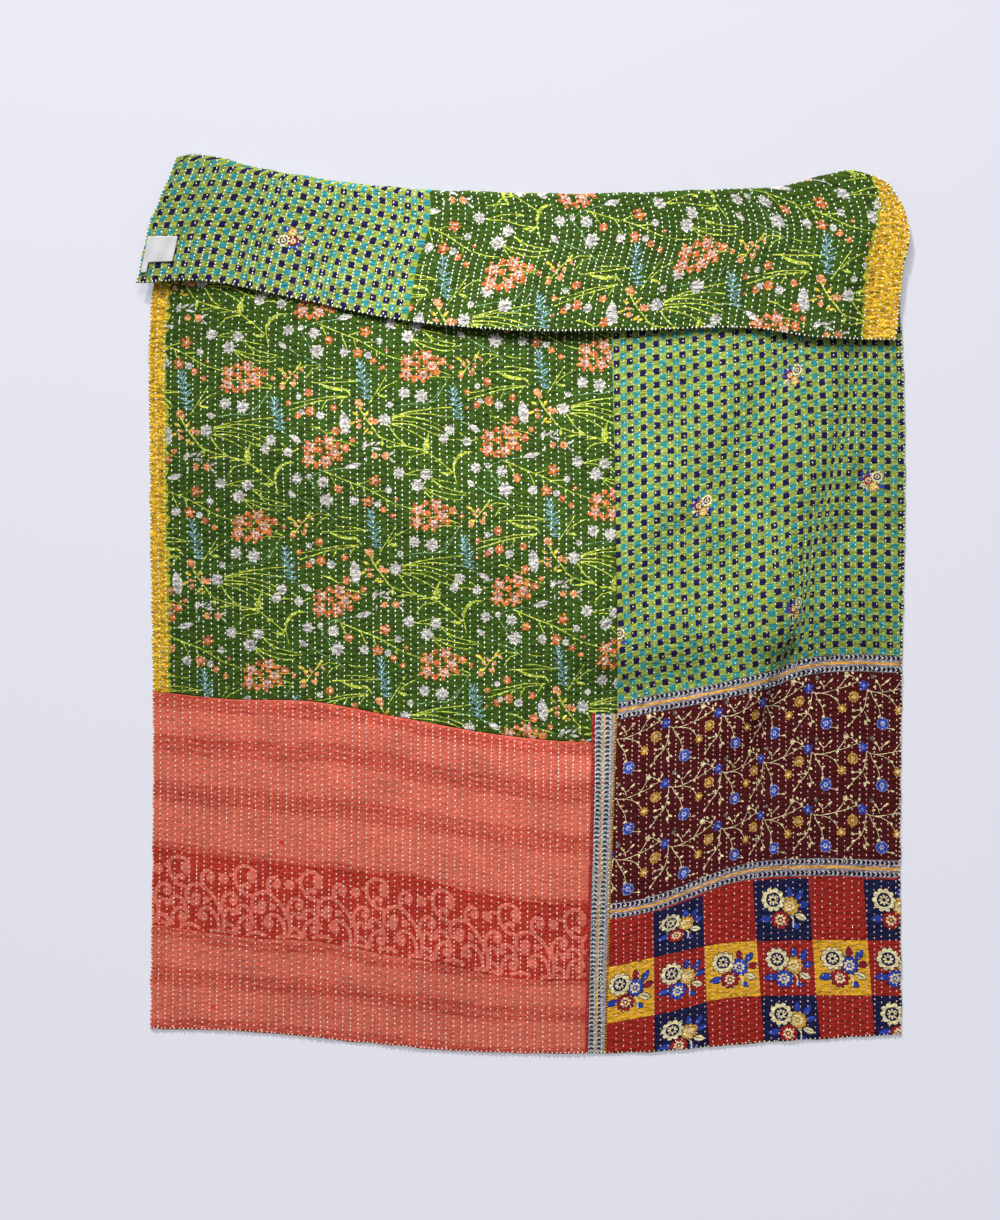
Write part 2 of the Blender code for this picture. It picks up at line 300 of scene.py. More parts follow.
class Cut:
    """A panel's flat coordinates: across from its left side and length up the cloth."""

    def __init__(self, panel):
        self.panel = panel
        self.left = straight(panel.left, SEAM) * WIDTH
        self.width = straight(panel.right, SEAM) * WIDTH - self.left
        self.step_at = None
        if panel.node == "front_green_panel":
            self.step_at = straight(STRIP_LEFT, SEAM) * WIDTH - self.left

    def share(self, across, length):
        way = way_at(length)
        left, right = straight(self.panel.left, way), straight(self.panel.right, way)
        return left + (right - left) * across / self.width

    def across(self, share, way):
        left, right = straight(self.panel.left, way), straight(self.panel.right, way)
        return (share - left) / (right - left) * self.width

    def bottom(self, across, right_of_step):
        """The length at which the cloth starts."""
        if self.step_at is not None and right_of_step:
            share = self.share(across, length_at(SEAM))
            return length_at(np.maximum(strip_top_way(share), SEAM + SEAM_SHIFT))
        start = self.panel.start + (SEAM_SHIFT if self.panel.start else 0)
        return np.full(np.shape(across), length_at(start))

    def top(self, across):
        if self.panel.node == "border_strip":
            share = self.share(across, length_at(SEAM))
            return length_at(np.maximum(strip_top_way(share) - SEAM_SHIFT, SEAM))
        end = self.panel.end - (SEAM_SHIFT if self.panel.end == SEAM else 0)
        return np.full(np.shape(across), length_at(end))

    def ends(self):
        """The lengths at which the cloth's left side starts and ends."""
        left = np.array([0.0])
        return float(self.bottom(left, False)[0]), float(self.top(left)[0])

    def edge_distance(self, across, length):
        right = across > (self.step_at if self.step_at is not None else self.width + 1)
        bottom = np.where(right, self.bottom(across, True), self.bottom(across, False))
        distance = np.minimum(length - bottom, self.top(across) - length)
        distance = np.minimum(distance, np.minimum(across, self.width - across))
        if self.step_at is not None:
            beside = (~right) & (length < self.bottom(self.step_at, True))
            distance = np.where(beside, np.minimum(distance, self.step_at - across), distance)
        return np.maximum(distance, 0)


def lines(start, end, step, phase=0.0, near=()):
    """Places between two ends, on multiples of a step, with extra ones near the ends."""
    first = math.ceil((start + phase + step * 0.45) / step)
    last = math.floor((end + phase - step * 0.45) / step)
    inner = [n * step - phase for n in range(first, last + 1)]
    extra = [start + d for d in near] + [end - d for d in near]
    inner = [x for x in inner if all(abs(x - e) > step * 0.3 for e in extra)]
    return [start] + sorted(inner + extra) + [end]


def blocks(points, most):
    """A list of places cut into runs no longer than that, each sharing its end."""
    runs, start = [], 0
    for i in range(1, len(points)):
        if i == len(points) - 1 or points[i + 1] - points[start] > most:
            runs.append(points[start : i + 1])
            start = i
    return runs


def tile_shape(cut, columns, rows, first_row, last_row, right_of_step):
    """A tile's outline and the places inside it."""
    xs, ys = np.array(columns), np.array(rows)
    low = cut.bottom(xs, right_of_step) if first_row else np.full(len(xs), ys[0])
    high = cut.top(xs) if last_row else np.full(len(xs), ys[-1])
    sides = []
    for end in (0, -1):
        least, most = low[end] + BESIDE_CORNER, high[end] - BESIDE_CORNER
        sides.append([y for y in ys[1:-1] if least < y < most])
    left, right = sides
    outline = list(zip(xs, low)) + [(xs[-1], y) for y in right]
    outline += list(zip(xs[::-1], high[::-1])) + [(xs[0], y) for y in left[::-1]]
    inside = [
        (x, y)
        for x, least, most in list(zip(xs, low + INSIDE_MARGIN, high - INSIDE_MARGIN))[1:-1]
        for y in ys[1:-1]
        if least < y < most
    ]
    return outline, inside


def triangulate(outline, inside, shapes):
    """The tile's triangles, and for each the index of the topmost shape over it, or -1."""
    points = [Vector(p) for p in outline] + [Vector(p) for p in inside]
    faces = [list(range(len(outline)))]
    for shape in shapes:
        faces.append(list(range(len(points), len(points) + len(shape))))
        points += [Vector(p) for p in shape]
    found, _, triangles, _, _, sources = delaunay_2d_cdt(points, [], faces, 0, 1e-7, True)
    found = np.array([p[:] for p in found])
    spilt = spilt_shapes(found, np.array(triangles), sources, shapes)
    kept, tops = [], []
    for corners, source in zip(triangles, sources):
        if 0 in source:
            kept.append(corners)
            tops.append(max(set(source) - spilt) - 1)
    return found, np.array(kept), np.array(tops)


def spilt_shapes(places, triangles, sources, shapes):
    """The faces of shapes that were filled past their own bounds."""
    a, b, c = (places[triangles[:, i]] for i in range(3))
    (x, y), (u, v) = (b - a).T, (c - a).T
    areas = np.abs(x * v - y * u) / 2
    faces = np.array([face for source in sources for face in source])
    weights = np.repeat(areas, [len(source) for source in sources])
    filled = np.bincount(faces, weights, len(shapes) + 1)[1:]
    bounds = np.array([np.prod(np.ptp(np.array(shape), axis=0)) for shape in shapes])
    return set((np.flatnonzero(filled > bounds * 1.02) + 1).tolist())


def clusters(values):
    """Numbers for values, the same where neighbours differ by next to nothing."""
    order = np.argsort(values)
    numbers = np.empty(len(values), int)
    numbers[order] = np.concatenate([[0], np.cumsum(np.diff(values[order]) > SAME)])
    return numbers


def weld(places, triangles):
    """Joins the tiles' shared places, and says which triangles still have an area."""
    keys = np.stack([clusters(places[:, 0]), clusters(places[:, 1])], axis=1)
    _, first, index = np.unique(keys, axis=0, return_index=True, return_inverse=True)
    triangles = index.reshape(-1)[triangles]
    whole = (triangles != np.roll(triangles, -1, axis=1)).all(axis=1)
    used, triangles = np.unique(triangles[whole], return_inverse=True)
    return places[first][used], triangles.reshape(-1, 3), whole


def rim(triangles):
    """The outline of a welded cloth, walked once round."""
    ends = np.concatenate([triangles[:, [0, 1]], triangles[:, [1, 2]], triangles[:, [2, 0]]])
    count = int(ends.max()) + 1
    forward = ends[:, 0] * count + ends[:, 1]
    alone = ends[~np.isin(forward, ends[:, 1] * count + ends[:, 0])]
    onward = dict(alone.tolist())
    start = int(alone[0, 0])
    walk, at = [start], onward[start]
    while at != start:
        walk.append(at)
        at = onward[at]
    if len(walk) != len(alone):
        raise RuntimeError(f"the cloth has {len(alone) - len(walk)} stray edges")
    return walk


def lining(cut, outline, fold_rows):
    """Triangles that close a cloth behind its outline, with coarse rows inside."""
    low, high = outline.min(axis=0), outline.max(axis=0)
    margin = COARSE_STEP / 3
    rows = {round(y, 6) for y in lines(low[1], high[1], COARSE_STEP)[1:-1] + fold_rows}
    rows = [y for y in sorted(rows) if low[1] + margin < y < high[1] - margin]
    columns = lines(low[0], high[0], COARSE_STEP)[1:-1]
    inside = [(x, y) for x in columns for y in rows if cut.edge_distance(x, y) > margin]
    places, triangles, _ = triangulate(outline.tolist(), inside, [])
    if not np.allclose(places[: len(outline)], outline, atol=SAME):
        raise RuntimeError(f"{cut.panel.node}: the lining lost points of its outline")
    return places, triangles


def fold_lines():
    return lines(length_at(FOLD_START), length_at(FOLD_END), FOLD_STEP)


def cut_rows(cut, start, end):
    """The rows up the part of a cloth that shows, and those up its hidden part."""
    hidden = length_at(HIDDEN_FROM)
    fold = fold_lines()
    if cut.panel.side < 0:
        fine = fold + lines(fold[-1], end, ALONG_STEP, near=EDGE_LINES)[1:]
        return fine, lines(start, fold[0], COARSE_STEP)
    fine = lines(start, min(hidden, end), ALONG_STEP, near=EDGE_LINES)
    if end < hidden:
        return fine, []
    coarse = [hidden] + lines(hidden, fold[0], COARSE_STEP)[1:] + fold[1:-1]
    return fine, coarse + lines(fold[-1], end, COARSE_STEP)


def tiles(cut):
    """The outlines of a cloth's tiles, and the places inside each."""
    start, end = cut.ends()
    fine, coarse = cut_rows(cut, start, end)
    breaks = [0.0, cut.width]
    if cut.step_at is not None:
        breaks.insert(1, cut.step_at)
        step = float(cut.bottom(cut.step_at, True))
        fine = sorted([y for y in fine if abs(y - step) > ALONG_STEP * 0.3] + [step])
    for left, right in zip(breaks, breaks[1:]):
        columns = lines(left, right, ACROSS_STEP, cut.left, EDGE_LINES)
        rows = [y for y in fine if y >= step - SAME] if left else fine
        for run in blocks(rows, TILE):
            first_row = run[0] == rows[0] and (left > 0 or rows[0] <= start + SAME)
            last_row = run[-1] == rows[-1] and rows[-1] >= end - SAME
            for part in blocks(columns, TILE):
                yield tile_shape(cut, part, run, first_row, last_row, left > 0)
        if coarse:
            hidden_columns = lines(left, right, COARSE_STEP, cut.left)
            yield hidden_tile(hidden_columns, coarse, columns, cut.panel.side)


def hidden_tile(columns, rows, fine_columns, side):
    """A hidden tile, whose end next to what shows has the columns of that."""
    low, high = (fine_columns, columns) if side > 0 else (columns, fine_columns)
    ys = rows[1:-1]
    outline = [(x, rows[0]) for x in low] + [(columns[-1], y) for y in ys]
    outline += [(x, rows[-1]) for x in high[::-1]] + [(columns[0], y) for y in ys[::-1]]
    return outline, [(x, y) for x in columns[1:-1] for y in ys]


def cut_cloth(cut, shapes_over):
    """The visible face of a panel, flat: places, triangles and their shapes' numbers."""
    places, triangles, tops, count = [], [], [], 0
    for outline, inside in tiles(cut):
        box = np.array(outline)
        over = shapes_over(box.min(axis=0), box.max(axis=0))
        found, corners, top = triangulate(outline, inside, [shape for shape, _ in over])
        colour_of = np.array([number for _, number in over] + [-1])
        places.append(found)
        triangles.append(corners + count)
        tops.append(colour_of[top])
        count += len(found)
    places, triangles, whole = weld(np.concatenate(places), np.concatenate(triangles))
    return places, triangles, np.concatenate(tops)[whole]


def sines(across, length, seed, count, shortest, longest, stretch=1.0):
    """An uneven field of about -1 to 1, from waves in many directions."""
    chance = np.random.default_rng(seed)
    total = np.zeros(np.shape(across))
    for _ in range(count):
        wave = shortest * (longest / shortest) ** chance.random()
        angle, start = chance.random() * math.pi, chance.random() * 2 * math.pi
        run = across * math.cos(angle) * stretch + length * math.sin(angle)
        total += np.sin(2 * math.pi * run / wave + start)
    return total / math.sqrt(count / 2) / 2


def relief(across, length, settings):
    """How far the stitched rows pull the face in, and how it puckers between them."""
    row = across / ROW_PITCH
    crest = (1 - np.cos(2 * math.pi * row)) / 2
    drift = sines(np.round(row) * 0.7, length, *STITCH_DRIFT)
    under = np.cos(2 * math.pi * (length / settings.stitch_period + drift * 1.2))
    pull = settings.row_depth * (1 - crest) * (0.85 + 0.15 * under)
    pucker = sines(across, length, *PUCKERS, stretch=0.28) * settings.pucker
    lumps = sines(across, length, *LUMPS) * settings.unevenness
    return pucker * (0.35 + 0.65 * crest) + lumps - pull


def face_distance(cut, across, length, settings):
    """How far the visible face lies from the quilt's middle."""
    share = cut.share(across, length)
    full = QUILT / 2 + relief(share * WIDTH, length, settings)
    if cut.panel.side > 0:
        x, y, _ = np.moveaxis(middle(share, way_at(length)), -1, 0)
        from_side = np.clip(np.minimum(share, 1 - share) / SWELLING_EDGE, 0, 1)
        full += lift(x, y, SWELLINGS) * from_side
    full = np.maximum(full, LEAST_FACE)
    if cut.panel.side < 0:
        seen = length > length_at(FOLD_START)
    else:
        seen = length < length_at(HIDDEN_FROM)
    full = np.where(seen, full, QUILT / 2)
    from_edge = np.clip(cut.edge_distance(across, length) / EDGE_ROUNDING, 0, 1)
    from_end = np.minimum(length - length_at(HEM), length_at(FLAP_EDGE) - length)
    outside = np.minimum(np.minimum(share, 1 - share) * WIDTH, from_end) < EDGE_ROUNDING
    least = np.where(outside, EDGE_LEVEL, SEAM_LEVEL)
    roundness = least + (1 - least) * np.sqrt(1 - (1 - from_edge) ** 2)
    return GAP / 2 + (full - GAP / 2) * roundness


def uneven_side(share, length):
    """How the outer sides waver, as a part of the width."""
    waver = sines(length, length * 0, *SIDE_WAVES) * 0.0011
    near_left = np.clip(1 - share / 0.02, 0, 1)
    near_right = np.clip(1 - (1 - share) / 0.02, 0, 1)
    return waver * (near_left + near_right)


def uneven_end(share, way):
    """How the hem and the flap's edge waver, up the quilt."""
    waver = sines(share * WIDTH, share * 0, *END_WAVES) * 0.0012
    near_hem = np.clip(1 - (way - HEM) / 0.03, 0, 1)
    near_flap_edge = np.clip(1 - (FLAP_EDGE - way) / 0.06, 0, 1)
    return waver * (near_hem + near_flap_edge)


def make_mesh(name, points, triangles):
    """A smooth closed mesh of triangles."""
    points = np.asarray(points)
    first, second, third = (points[triangles[:, i]] for i in range(3))
    if np.einsum("ij,ij->", first, np.cross(second, third)) < 0:
        raise RuntimeError(f"{name} is inside out")
    mesh = bpy.data.meshes.new(name)
    mesh.vertices.add(len(points))
    mesh.vertices.foreach_set("co", np.asarray(points, np.float32).ravel())
    mesh.loops.add(triangles.size)
    mesh.loops.foreach_set("vertex_index", triangles.astype(np.int32).ravel())
    mesh.polygons.add(len(triangles))
    mesh.polygons.foreach_set("loop_start", np.arange(0, triangles.size, 3, dtype=np.int32))
    mesh.update(calc_edges=True)
    mesh.shade_smooth()
    return mesh


def add_object(mesh, material, slot, *nodes):
    """A piece of the quilt, which stands for those nodes."""
    piece = bpy.data.objects.new(mesh.name, mesh)
    bpy.context.scene.collection.objects.link(piece)
    mesh.materials.append(material)
    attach(piece, "root")
    if nodes:
        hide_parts(*nodes)
    return piece


def build_cloth(name, settings):
    """One cloth of the quilt as a closed shell with its print laid in."""
    panel = PANELS[name]
    cut = Cut(panel)
    shapes = PRINTS[name](cut)
    places, triangles, tops = cut_cloth(cut, shapes.near)
    outline = np.array(rim(triangles))
    behind, backing = lining(cut, places[outline], fold_lines() if panel.end > SEAM else [])
    count = len(places)
    # The lining's first places are the outline's own
    ring = np.arange(len(outline)) + count
    onward, after = np.roll(outline, -1), np.roll(ring, -1)
    walls = [np.stack([onward, outline, ring], 1), np.stack([onward, ring, after], 1)]
    all_triangles = np.concatenate([triangles, backing[:, ::-1] + count, *walls])
    if panel.side < 0:
        all_triangles = all_triangles[:, ::-1]
    flat = np.concatenate([places, behind])
    share, way = cut.share(flat[:, 0], flat[:, 1]), way_at(flat[:, 1])
    distance = np.full(len(flat), GAP / 2)
    distance[:count] = face_distance(cut, places[:, 0], places[:, 1], settings)
    points, _, _ = offset(share + uneven_side(share, flat[:, 1]), way, distance * panel.side)
    points[:, 1] += uneven_end(share, way)
    points[:, 2] = np.maximum(points[:, 2], 0)
    mesh = make_mesh(name, points, all_triangles)
    paint_corners(mesh, shapes, tops, len(all_triangles))
    corners = all_triangles.ravel()
    add_uv(mesh, "cloth", shapes.cloth_places(share, way)[corners])
    baked = np.stack([share * WIDTH, flat[:, 1]], 1)
    baked[count:] *= LINING_SCALE
    add_uv(mesh, "OFBake", (baked / BAKED_SIDE)[corners])
    piece = add_object(mesh, cloth_material(name, settings), panel.slot, panel.node)
    size = (cut.width, float(flat[:, 1].max() - flat[:, 1].min()))
    return piece, size


def add_uv(mesh, name, places):
    layer = mesh.uv_layers.new(name=name)
    layer.data.foreach_set("uv", places.astype(np.float32).ravel())


def paint_corners(mesh, shapes, tops, total):
    """The print's colours on the corners, and how much of the ground they cover."""
    palette = np.array([(*linear(colour), 1.0) for colour in shapes.colours] + [(0, 0, 0, 0)])
    colours = np.zeros((total, 3, 4))
    colours[: len(tops)] = palette[tops][:, None, :]
    layer = mesh.color_attributes.new(name="print", type="FLOAT_COLOR", domain="CORNER")
    layer.data.foreach_set("color", colours.astype(np.float32).ravel())


def linear(colour):
    """A colour of 0 to 255 in the scene's own linear values."""
    part = np.array(colour) / 255
    return np.where(part <= 0.04045, part / 12.92, ((part + 0.055) / 1.055) ** 2.4)


# ---- prints ----

# Dyes, as red, green and blue of 255
CREAM, NAVY, TEAL, LIME = (222, 210, 160), (26, 22, 66), (44, 132, 136), (138, 153, 62)
GOLD, BLUE, RED, YELLOW = (200, 150, 58), (44, 66, 160), (150, 35, 27), (213, 159, 38)
LILAC, MAROON, DARK_RED, OUTLINE = (156, 140, 146), (72, 16, 18), (140, 28, 36), (28, 22, 44)
ORANGE, PEACH, GREY_WHITE = (212, 112, 60), (206, 166, 150), (198, 191, 187)
SLATE, GOLD_LINE, STRIP_RED = (112, 106, 116), (216, 158, 70), (146, 24, 22)
STRIP_TEAL, STRIP_DOTS = (28, 62, 84), (84, 70, 30)
DULL_BLUE, INK = (100, 146, 152), (22, 26, 62)
PALE_BLUE, LEAF_LIME = (132, 170, 178), (184, 197, 72)
BUD_YELLOW, BUD_PEACH = (218, 190, 64), (222, 146, 98)
SCROLL_GROUND, SCROLL = (170, 40, 24), (214, 108, 90)
CHALK, DEEP_MAROON = (182, 184, 180), (52, 18, 28)
SELVAGE, SELVAGE_EDGE = (222, 172, 46), (168, 172, 44)


class Shapes:
    """Coloured shapes of a print, in the print's own coordinates, carried to a cut."""

    def __init__(self, cut, place, cloth_places):
        self.cut, self.place, self.cloth_places = cut, place, cloth_places
        self.outlines, self.owners, self.colours, self.boxes = [], [], [], None
        self.gathered = self.highest = None

    def add(self, outline, colour):
        outline = np.array(outline, float)
        if self.highest is not None and outline[:, 1].max() > self.highest:
            return
        if self.gathered:
            outline[:, 0] = straight(self.gathered, outline[:, 0])
        self.outlines.append(outline)
        if colour not in self.colours:
            self.colours.append(colour)
        self.owners.append(self.colours.index(colour))

    def add_stem(self, points, width, colour, end_width=None, pieces=3):
        """A ribbon along a smooth line, link by link so that it may curl."""
        line = smooth_line(points, pieces)
        run = np.gradient(line, axis=0)
        run /= np.linalg.norm(run, axis=1, keepdims=True)
        side = np.stack([-run[:, 1], run[:, 0]], 1)
        stops = (0, 1) if np.isscalar(width) else np.linspace(0, 1, len(width))
        widths = (width, end_width or width) if np.isscalar(width) else width
        half = np.interp(np.linspace(0, 1, len(line)), stops, widths)[:, None] / 2
        left, right = line + side * half, line - side * half
        for i in range(len(line) - 1):
            self.add([right[i], right[i + 1], left[i + 1], left[i]], colour)

    def finish(self):
        """Carries every shape onto the cut at once."""
        if not self.outlines:
            self.boxes = np.zeros((0, 4))
            return self
        sizes = [len(outline) for outline in self.outlines]
        p, q = np.concatenate(self.outlines).T
        share, way = self.place(p, q)
        carried = np.stack([self.cut.across(share, way), length_at(way)], 1)
        self.outlines = [facing_up(o) for o in np.split(carried, np.cumsum(sizes)[:-1])]
        self.boxes = np.array([[*o.min(axis=0), *o.max(axis=0)] for o in self.outlines])
        return self

    def near(self, low, high):
        """The shapes that reach into a box, with their colours' numbers."""
        b = self.boxes
        if not len(b):
            return []
        hit = (b[:, 0] < high[0]) & (b[:, 2] > low[0]) & (b[:, 1] < high[1]) & (b[:, 3] > low[1])
        return [(self.outlines[i].tolist(), self.owners[i]) for i in np.flatnonzero(hit)]


def facing_up(outline):
    """The outline, untwisted if it has four corners, turned to run anticlockwise."""
    if len(outline) == 4:
        around = outline - outline.mean(axis=0)
        outline = outline[np.argsort(np.arctan2(around[:, 1], around[:, 0]))]
    x, y = outline.T
    area = np.dot(x, np.roll(y, -1)) - np.dot(y, np.roll(x, -1))
    return outline if area > 0 else outline[::-1]


def rectangle(left, bottom, right, top, step=1.0):
    """A rectangle whose long sides have points every so often, to bend with the cloth."""
    across = np.linspace(left, right, max(2, math.ceil((right - left) / step) + 1))
    return [(x, bottom) for x in across] + [(x, top) for x in across[::-1]]


def lobed(x, y, radius, lobes, depth, turn=0.0, points=4, uneven=0.0):
    """A round flower's outline with that many lobes, or a disc without any."""
    count = lobes * points if lobes else 10
    outline = []
    for i in range(count):
        angle = 2 * math.pi * i / count + turn
        r = radius * (1 + uneven * math.sin(i * 2.4 + turn * 7 + x * 911 + y * 577))
        if lobes:
            r *= 1 - depth * (1 - abs(math.cos(math.pi * i / points)) ** 0.7)
        outline.append((x + r * math.cos(angle), y + r * math.sin(angle)))
    return outline


def leaf(x, y, length, angle, width):
    """A leaf from its stalk outwards."""
    outline = []
    sides = ((0.0, 0.0), (0.25, 0.75), (0.55, 1.0), (0.82, 0.6), (1.0, 0.0))
    c, s = math.cos(angle), math.sin(angle)
    for t, w in [*sides] + [(t, -w) for t, w in sides[-2:0:-1]]:
        a, b = t * length, w * width / 2
        outline.append((x + a * c - b * s, y + a * s + b * c))
    return outline


def smooth_line(points, pieces=3):
    """More points along a line, on a curve through the given ones."""
    points = np.array(points, float)
    padded = np.concatenate([[2 * points[0] - points[1]], points, [2 * points[-1] - points[-2]]])
    result = []
    for i in range(len(points) - 1):
        a, b, c, d = padded[i : i + 4]
        square, cube = 2 * a - 5 * b + 4 * c - d, 3 * b - a - 3 * c + d
        for t in np.arange(pieces) / pieces:
            result.append(0.5 * (2 * b + (c - a) * t + square * t * t + cube * t**3))
    return np.array(result + [points[-1]])


def through(levels, share, q):
    """The height where a print's level is q, between curves given for some levels."""
    keys = [level for level, _ in levels]
    curves = np.stack([along(table, share) for _, table in levels])
    cell = np.clip(np.searchsorted(keys, q, "right") - 1, 0, len(keys) - 2)
    low, high = np.array(keys)[cell], np.array(keys)[cell + 1]
    pick = np.arange(len(cell))
    a, b = curves[cell, pick], curves[cell + 1, pick]
    return a + (b - a) * (q - low) / (high - low)


def level_at(levels, share, height):
    """The print's level at a height: the other way round."""
    keys = np.array([level for level, _ in levels])
    curves = np.stack([along(table, share) for _, table in levels])
    cell = np.clip((curves <= height).sum(axis=0) - 1, 0, len(keys) - 2)
    pick = np.arange(len(cell))
    a, b = curves[cell, pick], curves[cell + 1, pick]
    return keys[cell] + (keys[cell + 1] - keys[cell]) * (height - a) / (b - a)


# Levels of the printed cloth, in metres from its lower border: blocks below, then the
# maroon field, its upper border and the check. A line says share -> height
UPPER_BORDER, CHECK_TOP, FIRST_BLOCKS, SECOND_BLOCKS, LOWEST = 0.335, 0.935, -0.118, -0.212, -0.330
LOWER_BORDER_LINE = (
    (0.60, 0.236), (0.665, 0.250), (0.732, 0.282), (0.759, 0.296), (0.799, 0.309),
    (0.865, 0.315), (1.00, 0.311),
)
UPPER_BORDER_LINE = (
    (0.60, 0.572), (0.62, 0.578), (0.663, 0.590), (0.73, 0.605), (0.796, 0.624),
    (0.83, 0.636), (0.863, 0.651), (0.903, 0.659), (1.00, 0.658),
)
FIRST_BLOCKS_LINE = (
    (0.60, 0.142), (0.665, 0.161), (0.70, 0.171), (0.76, 0.186), (0.84, 0.191), (1.00, 0.191),
)
SECOND_BLOCKS_LINE = (
    (0.60, 0.049), (0.70, 0.073), (0.76, 0.093), (0.84, 0.098), (1.00, 0.098),
)
LOWEST_LINE = (
    (0.60, -0.067), (0.70, -0.040), (0.76, -0.022), (0.84, -0.018), (1.00, -0.018),
)
CHECK_TOP_LINE = tuple((share, 0.7 * y + 0.787) for share, y in UPPER_BORDER_LINE)
PRINT_LEVELS = (
    (LOWEST, LOWEST_LINE), (SECOND_BLOCKS, SECOND_BLOCKS_LINE), (FIRST_BLOCKS, FIRST_BLOCKS_LINE),
    (0.0, LOWER_BORDER_LINE), (UPPER_BORDER, UPPER_BORDER_LINE), (CHECK_TOP, CHECK_TOP_LINE),
)
# Levels of the coral cloth, from its upper seam down to the scroll band and the hem
BAND_TOP, BAND_BOTTOM, CORAL_HEM = -0.265, -0.395, -0.560
BAND_TOP_LINE = (
    (0.00, 0.350), (0.096, 0.330), (0.178, 0.320), (0.262, 0.308), (0.345, 0.298),
    (0.429, 0.272), (0.511, 0.255), (0.60, 0.250),
)
BAND_BOTTOM_LINE = (
    (0.00, 0.218), (0.053, 0.208), (0.137, 0.194), (0.220, 0.189), (0.304, 0.169),
    (0.386, 0.152), (0.470, 0.129), (0.60, 0.122),
)
CORAL_LEVELS = (
    (CORAL_HEM, HEM_LINE), (BAND_BOTTOM, BAND_BOTTOM_LINE), (BAND_TOP, BAND_TOP_LINE),
    (0.0, SEAM_LINE),
)
# How far the blocks' upright lines lean to the right, by each metre down
BLOCK_LEAN = 0.065


def block_lean(p, q):
    """How far a place below the border is moved to the right."""
    return BLOCK_LEAN * np.clip(-q, 0, 1) * np.interp(p / WIDTH, (0.66, 0.80), (0.0, 1.0))


# Where every other column of the check's squares lies, as a share of the width, at some
# levels: the long fold takes up part of the cloth
CHECK_CELL = 0.0113
FIRST_COLUMN = 70.5 * CHECK_CELL
# How wide the squares lie beyond the columns below
BEYOND_COLUMNS = 0.94
CHECK_COLUMNS = (0, 4, 8, 10, 12, 13, 14, 15, 16, 17, 18, 19, 20, 21, 22, 23)
CHECK_SHARES = (
    (0.355, (0.6338, 0.7024, 0.7702, 0.8043, 0.8320, 0.8411, 0.8509, 0.8628,
            0.8771, 0.8937, 0.9113, 0.9298, 0.9475, 0.9654, 0.9839, 1.0013)),
    (0.424, (0.6265, 0.6937, 0.7630, 0.7979, 0.8317, 0.8469, 0.8589, 0.8662,
            0.8762, 0.8915, 0.9088, 0.9265, 0.9441, 0.9627, 0.9807, 0.9987)),
    (0.527, (0.6205, 0.6893, 0.7587, 0.7935, 0.8282, 0.8455, 0.8595, 0.8687,
            0.8775, 0.8915, 0.9055, 0.9228, 0.9409, 0.9590, 0.9776, 0.9955)),
    (0.639, (0.6192, 0.6884, 0.7558, 0.7899, 0.8245, 0.8415, 0.8595, 0.8770,
            0.8901, 0.8995, 0.9095, 0.9228, 0.9395, 0.9581, 0.9764, 0.9940)),
    (0.750, (0.6198, 0.6904, 0.7610, 0.7936, 0.8242, 0.8402, 0.8582, 0.8755,
            0.8921, 0.9075, 0.9201, 0.9308, 0.9441, 0.9601, 0.9780, 0.9953)),
    (0.853, (0.6205, 0.6904, 0.7610, 0.7971, 0.8296, 0.8442, 0.8581, 0.8730,
            0.8895, 0.9071, 0.9237, 0.9378, 0.9487, 0.9621, 0.9787, 0.9947)),
)


def gathered_check(p, q):
    """The share of the width at which a place of the check lies."""
    places = FIRST_COLUMN + 2 * CHECK_CELL * np.array(CHECK_COLUMNS)
    slope = BEYOND_COLUMNS / WIDTH
    found = []
    for _, shares in CHECK_SHARES:
        inside = np.interp(p, places, shares)
        outside = np.minimum(p - places[0], 0) + np.maximum(p - places[-1], 0)
        found.append(inside + outside * slope)
    levels = np.array([level for level, _ in CHECK_SHARES])
    cell = np.clip(np.searchsorted(levels, q, "right") - 1, 0, len(levels) - 2)
    t = np.clip((q - levels[cell]) / (levels[cell + 1] - levels[cell]), 0, 1)
    found, pick = np.array(found), np.arange(len(cell))
    return found[cell, pick] * (1 - t) + found[cell + 1, pick] * t


def place_on_printed(p, q):
    plain = (p + block_lean(p, q)) / WIDTH
    share = np.where(q > UPPER_BORDER + 0.0147, gathered_check(p, q), plain)
    return share, way_on_body(share, through(PRINT_LEVELS, share, q))


def printed_place(share, way):
    q = level_at(PRINT_LEVELS, share, height_up_quilt(share, way))
    p = share * WIDTH
    return np.stack([p - block_lean(p, q), q], 1)


def place_on_coral(p, q):
    share = p / WIDTH
    return share, way_on_body(share, through(CORAL_LEVELS, share, q))


def coral_place(share, way):
    q = level_at(CORAL_LEVELS, share, height_up_quilt(share, way))
    return np.stack([share * WIDTH, q], 1)


GREEN_TURN = math.radians(3.5)


def place_on_green(p, q):
    """The green print is turned a little and measured from the quilt's lower left."""
    x = p * math.cos(GREEN_TURN) - q * math.sin(GREEN_TURN)
    y = p * math.sin(GREEN_TURN) + q * math.cos(GREEN_TURN)
    share = x / WIDTH
    return share, way_on_body(share, y)


def green_place(share, way):
    return np.stack(on_green_print(share * WIDTH, height_up_quilt(share, way)), 1)


def on_green_print(x, y):
    """A place measured up the quilt, in the turned print."""
    c, s = math.cos(GREEN_TURN), math.sin(GREEN_TURN)
    return x * c + y * s, y * c - x * s


# How little the way changes, past the fold, for a fold's length of print
PAST_FOLD = 0.023


def place_on_flap(p, q):
    """On the flap the print is measured up from its edge."""
    share = p / WIDTH
    _, _, fold, flap = heights(share)
    depth = fold - flap
    past = (q - depth) / length_in_fold()
    beyond = np.where(past < 1, FOLD_END - past, FOLD_START + (1 - past) * PAST_FOLD)
    return share, np.where(past < 0, FLAP_EDGE - q / depth, beyond)


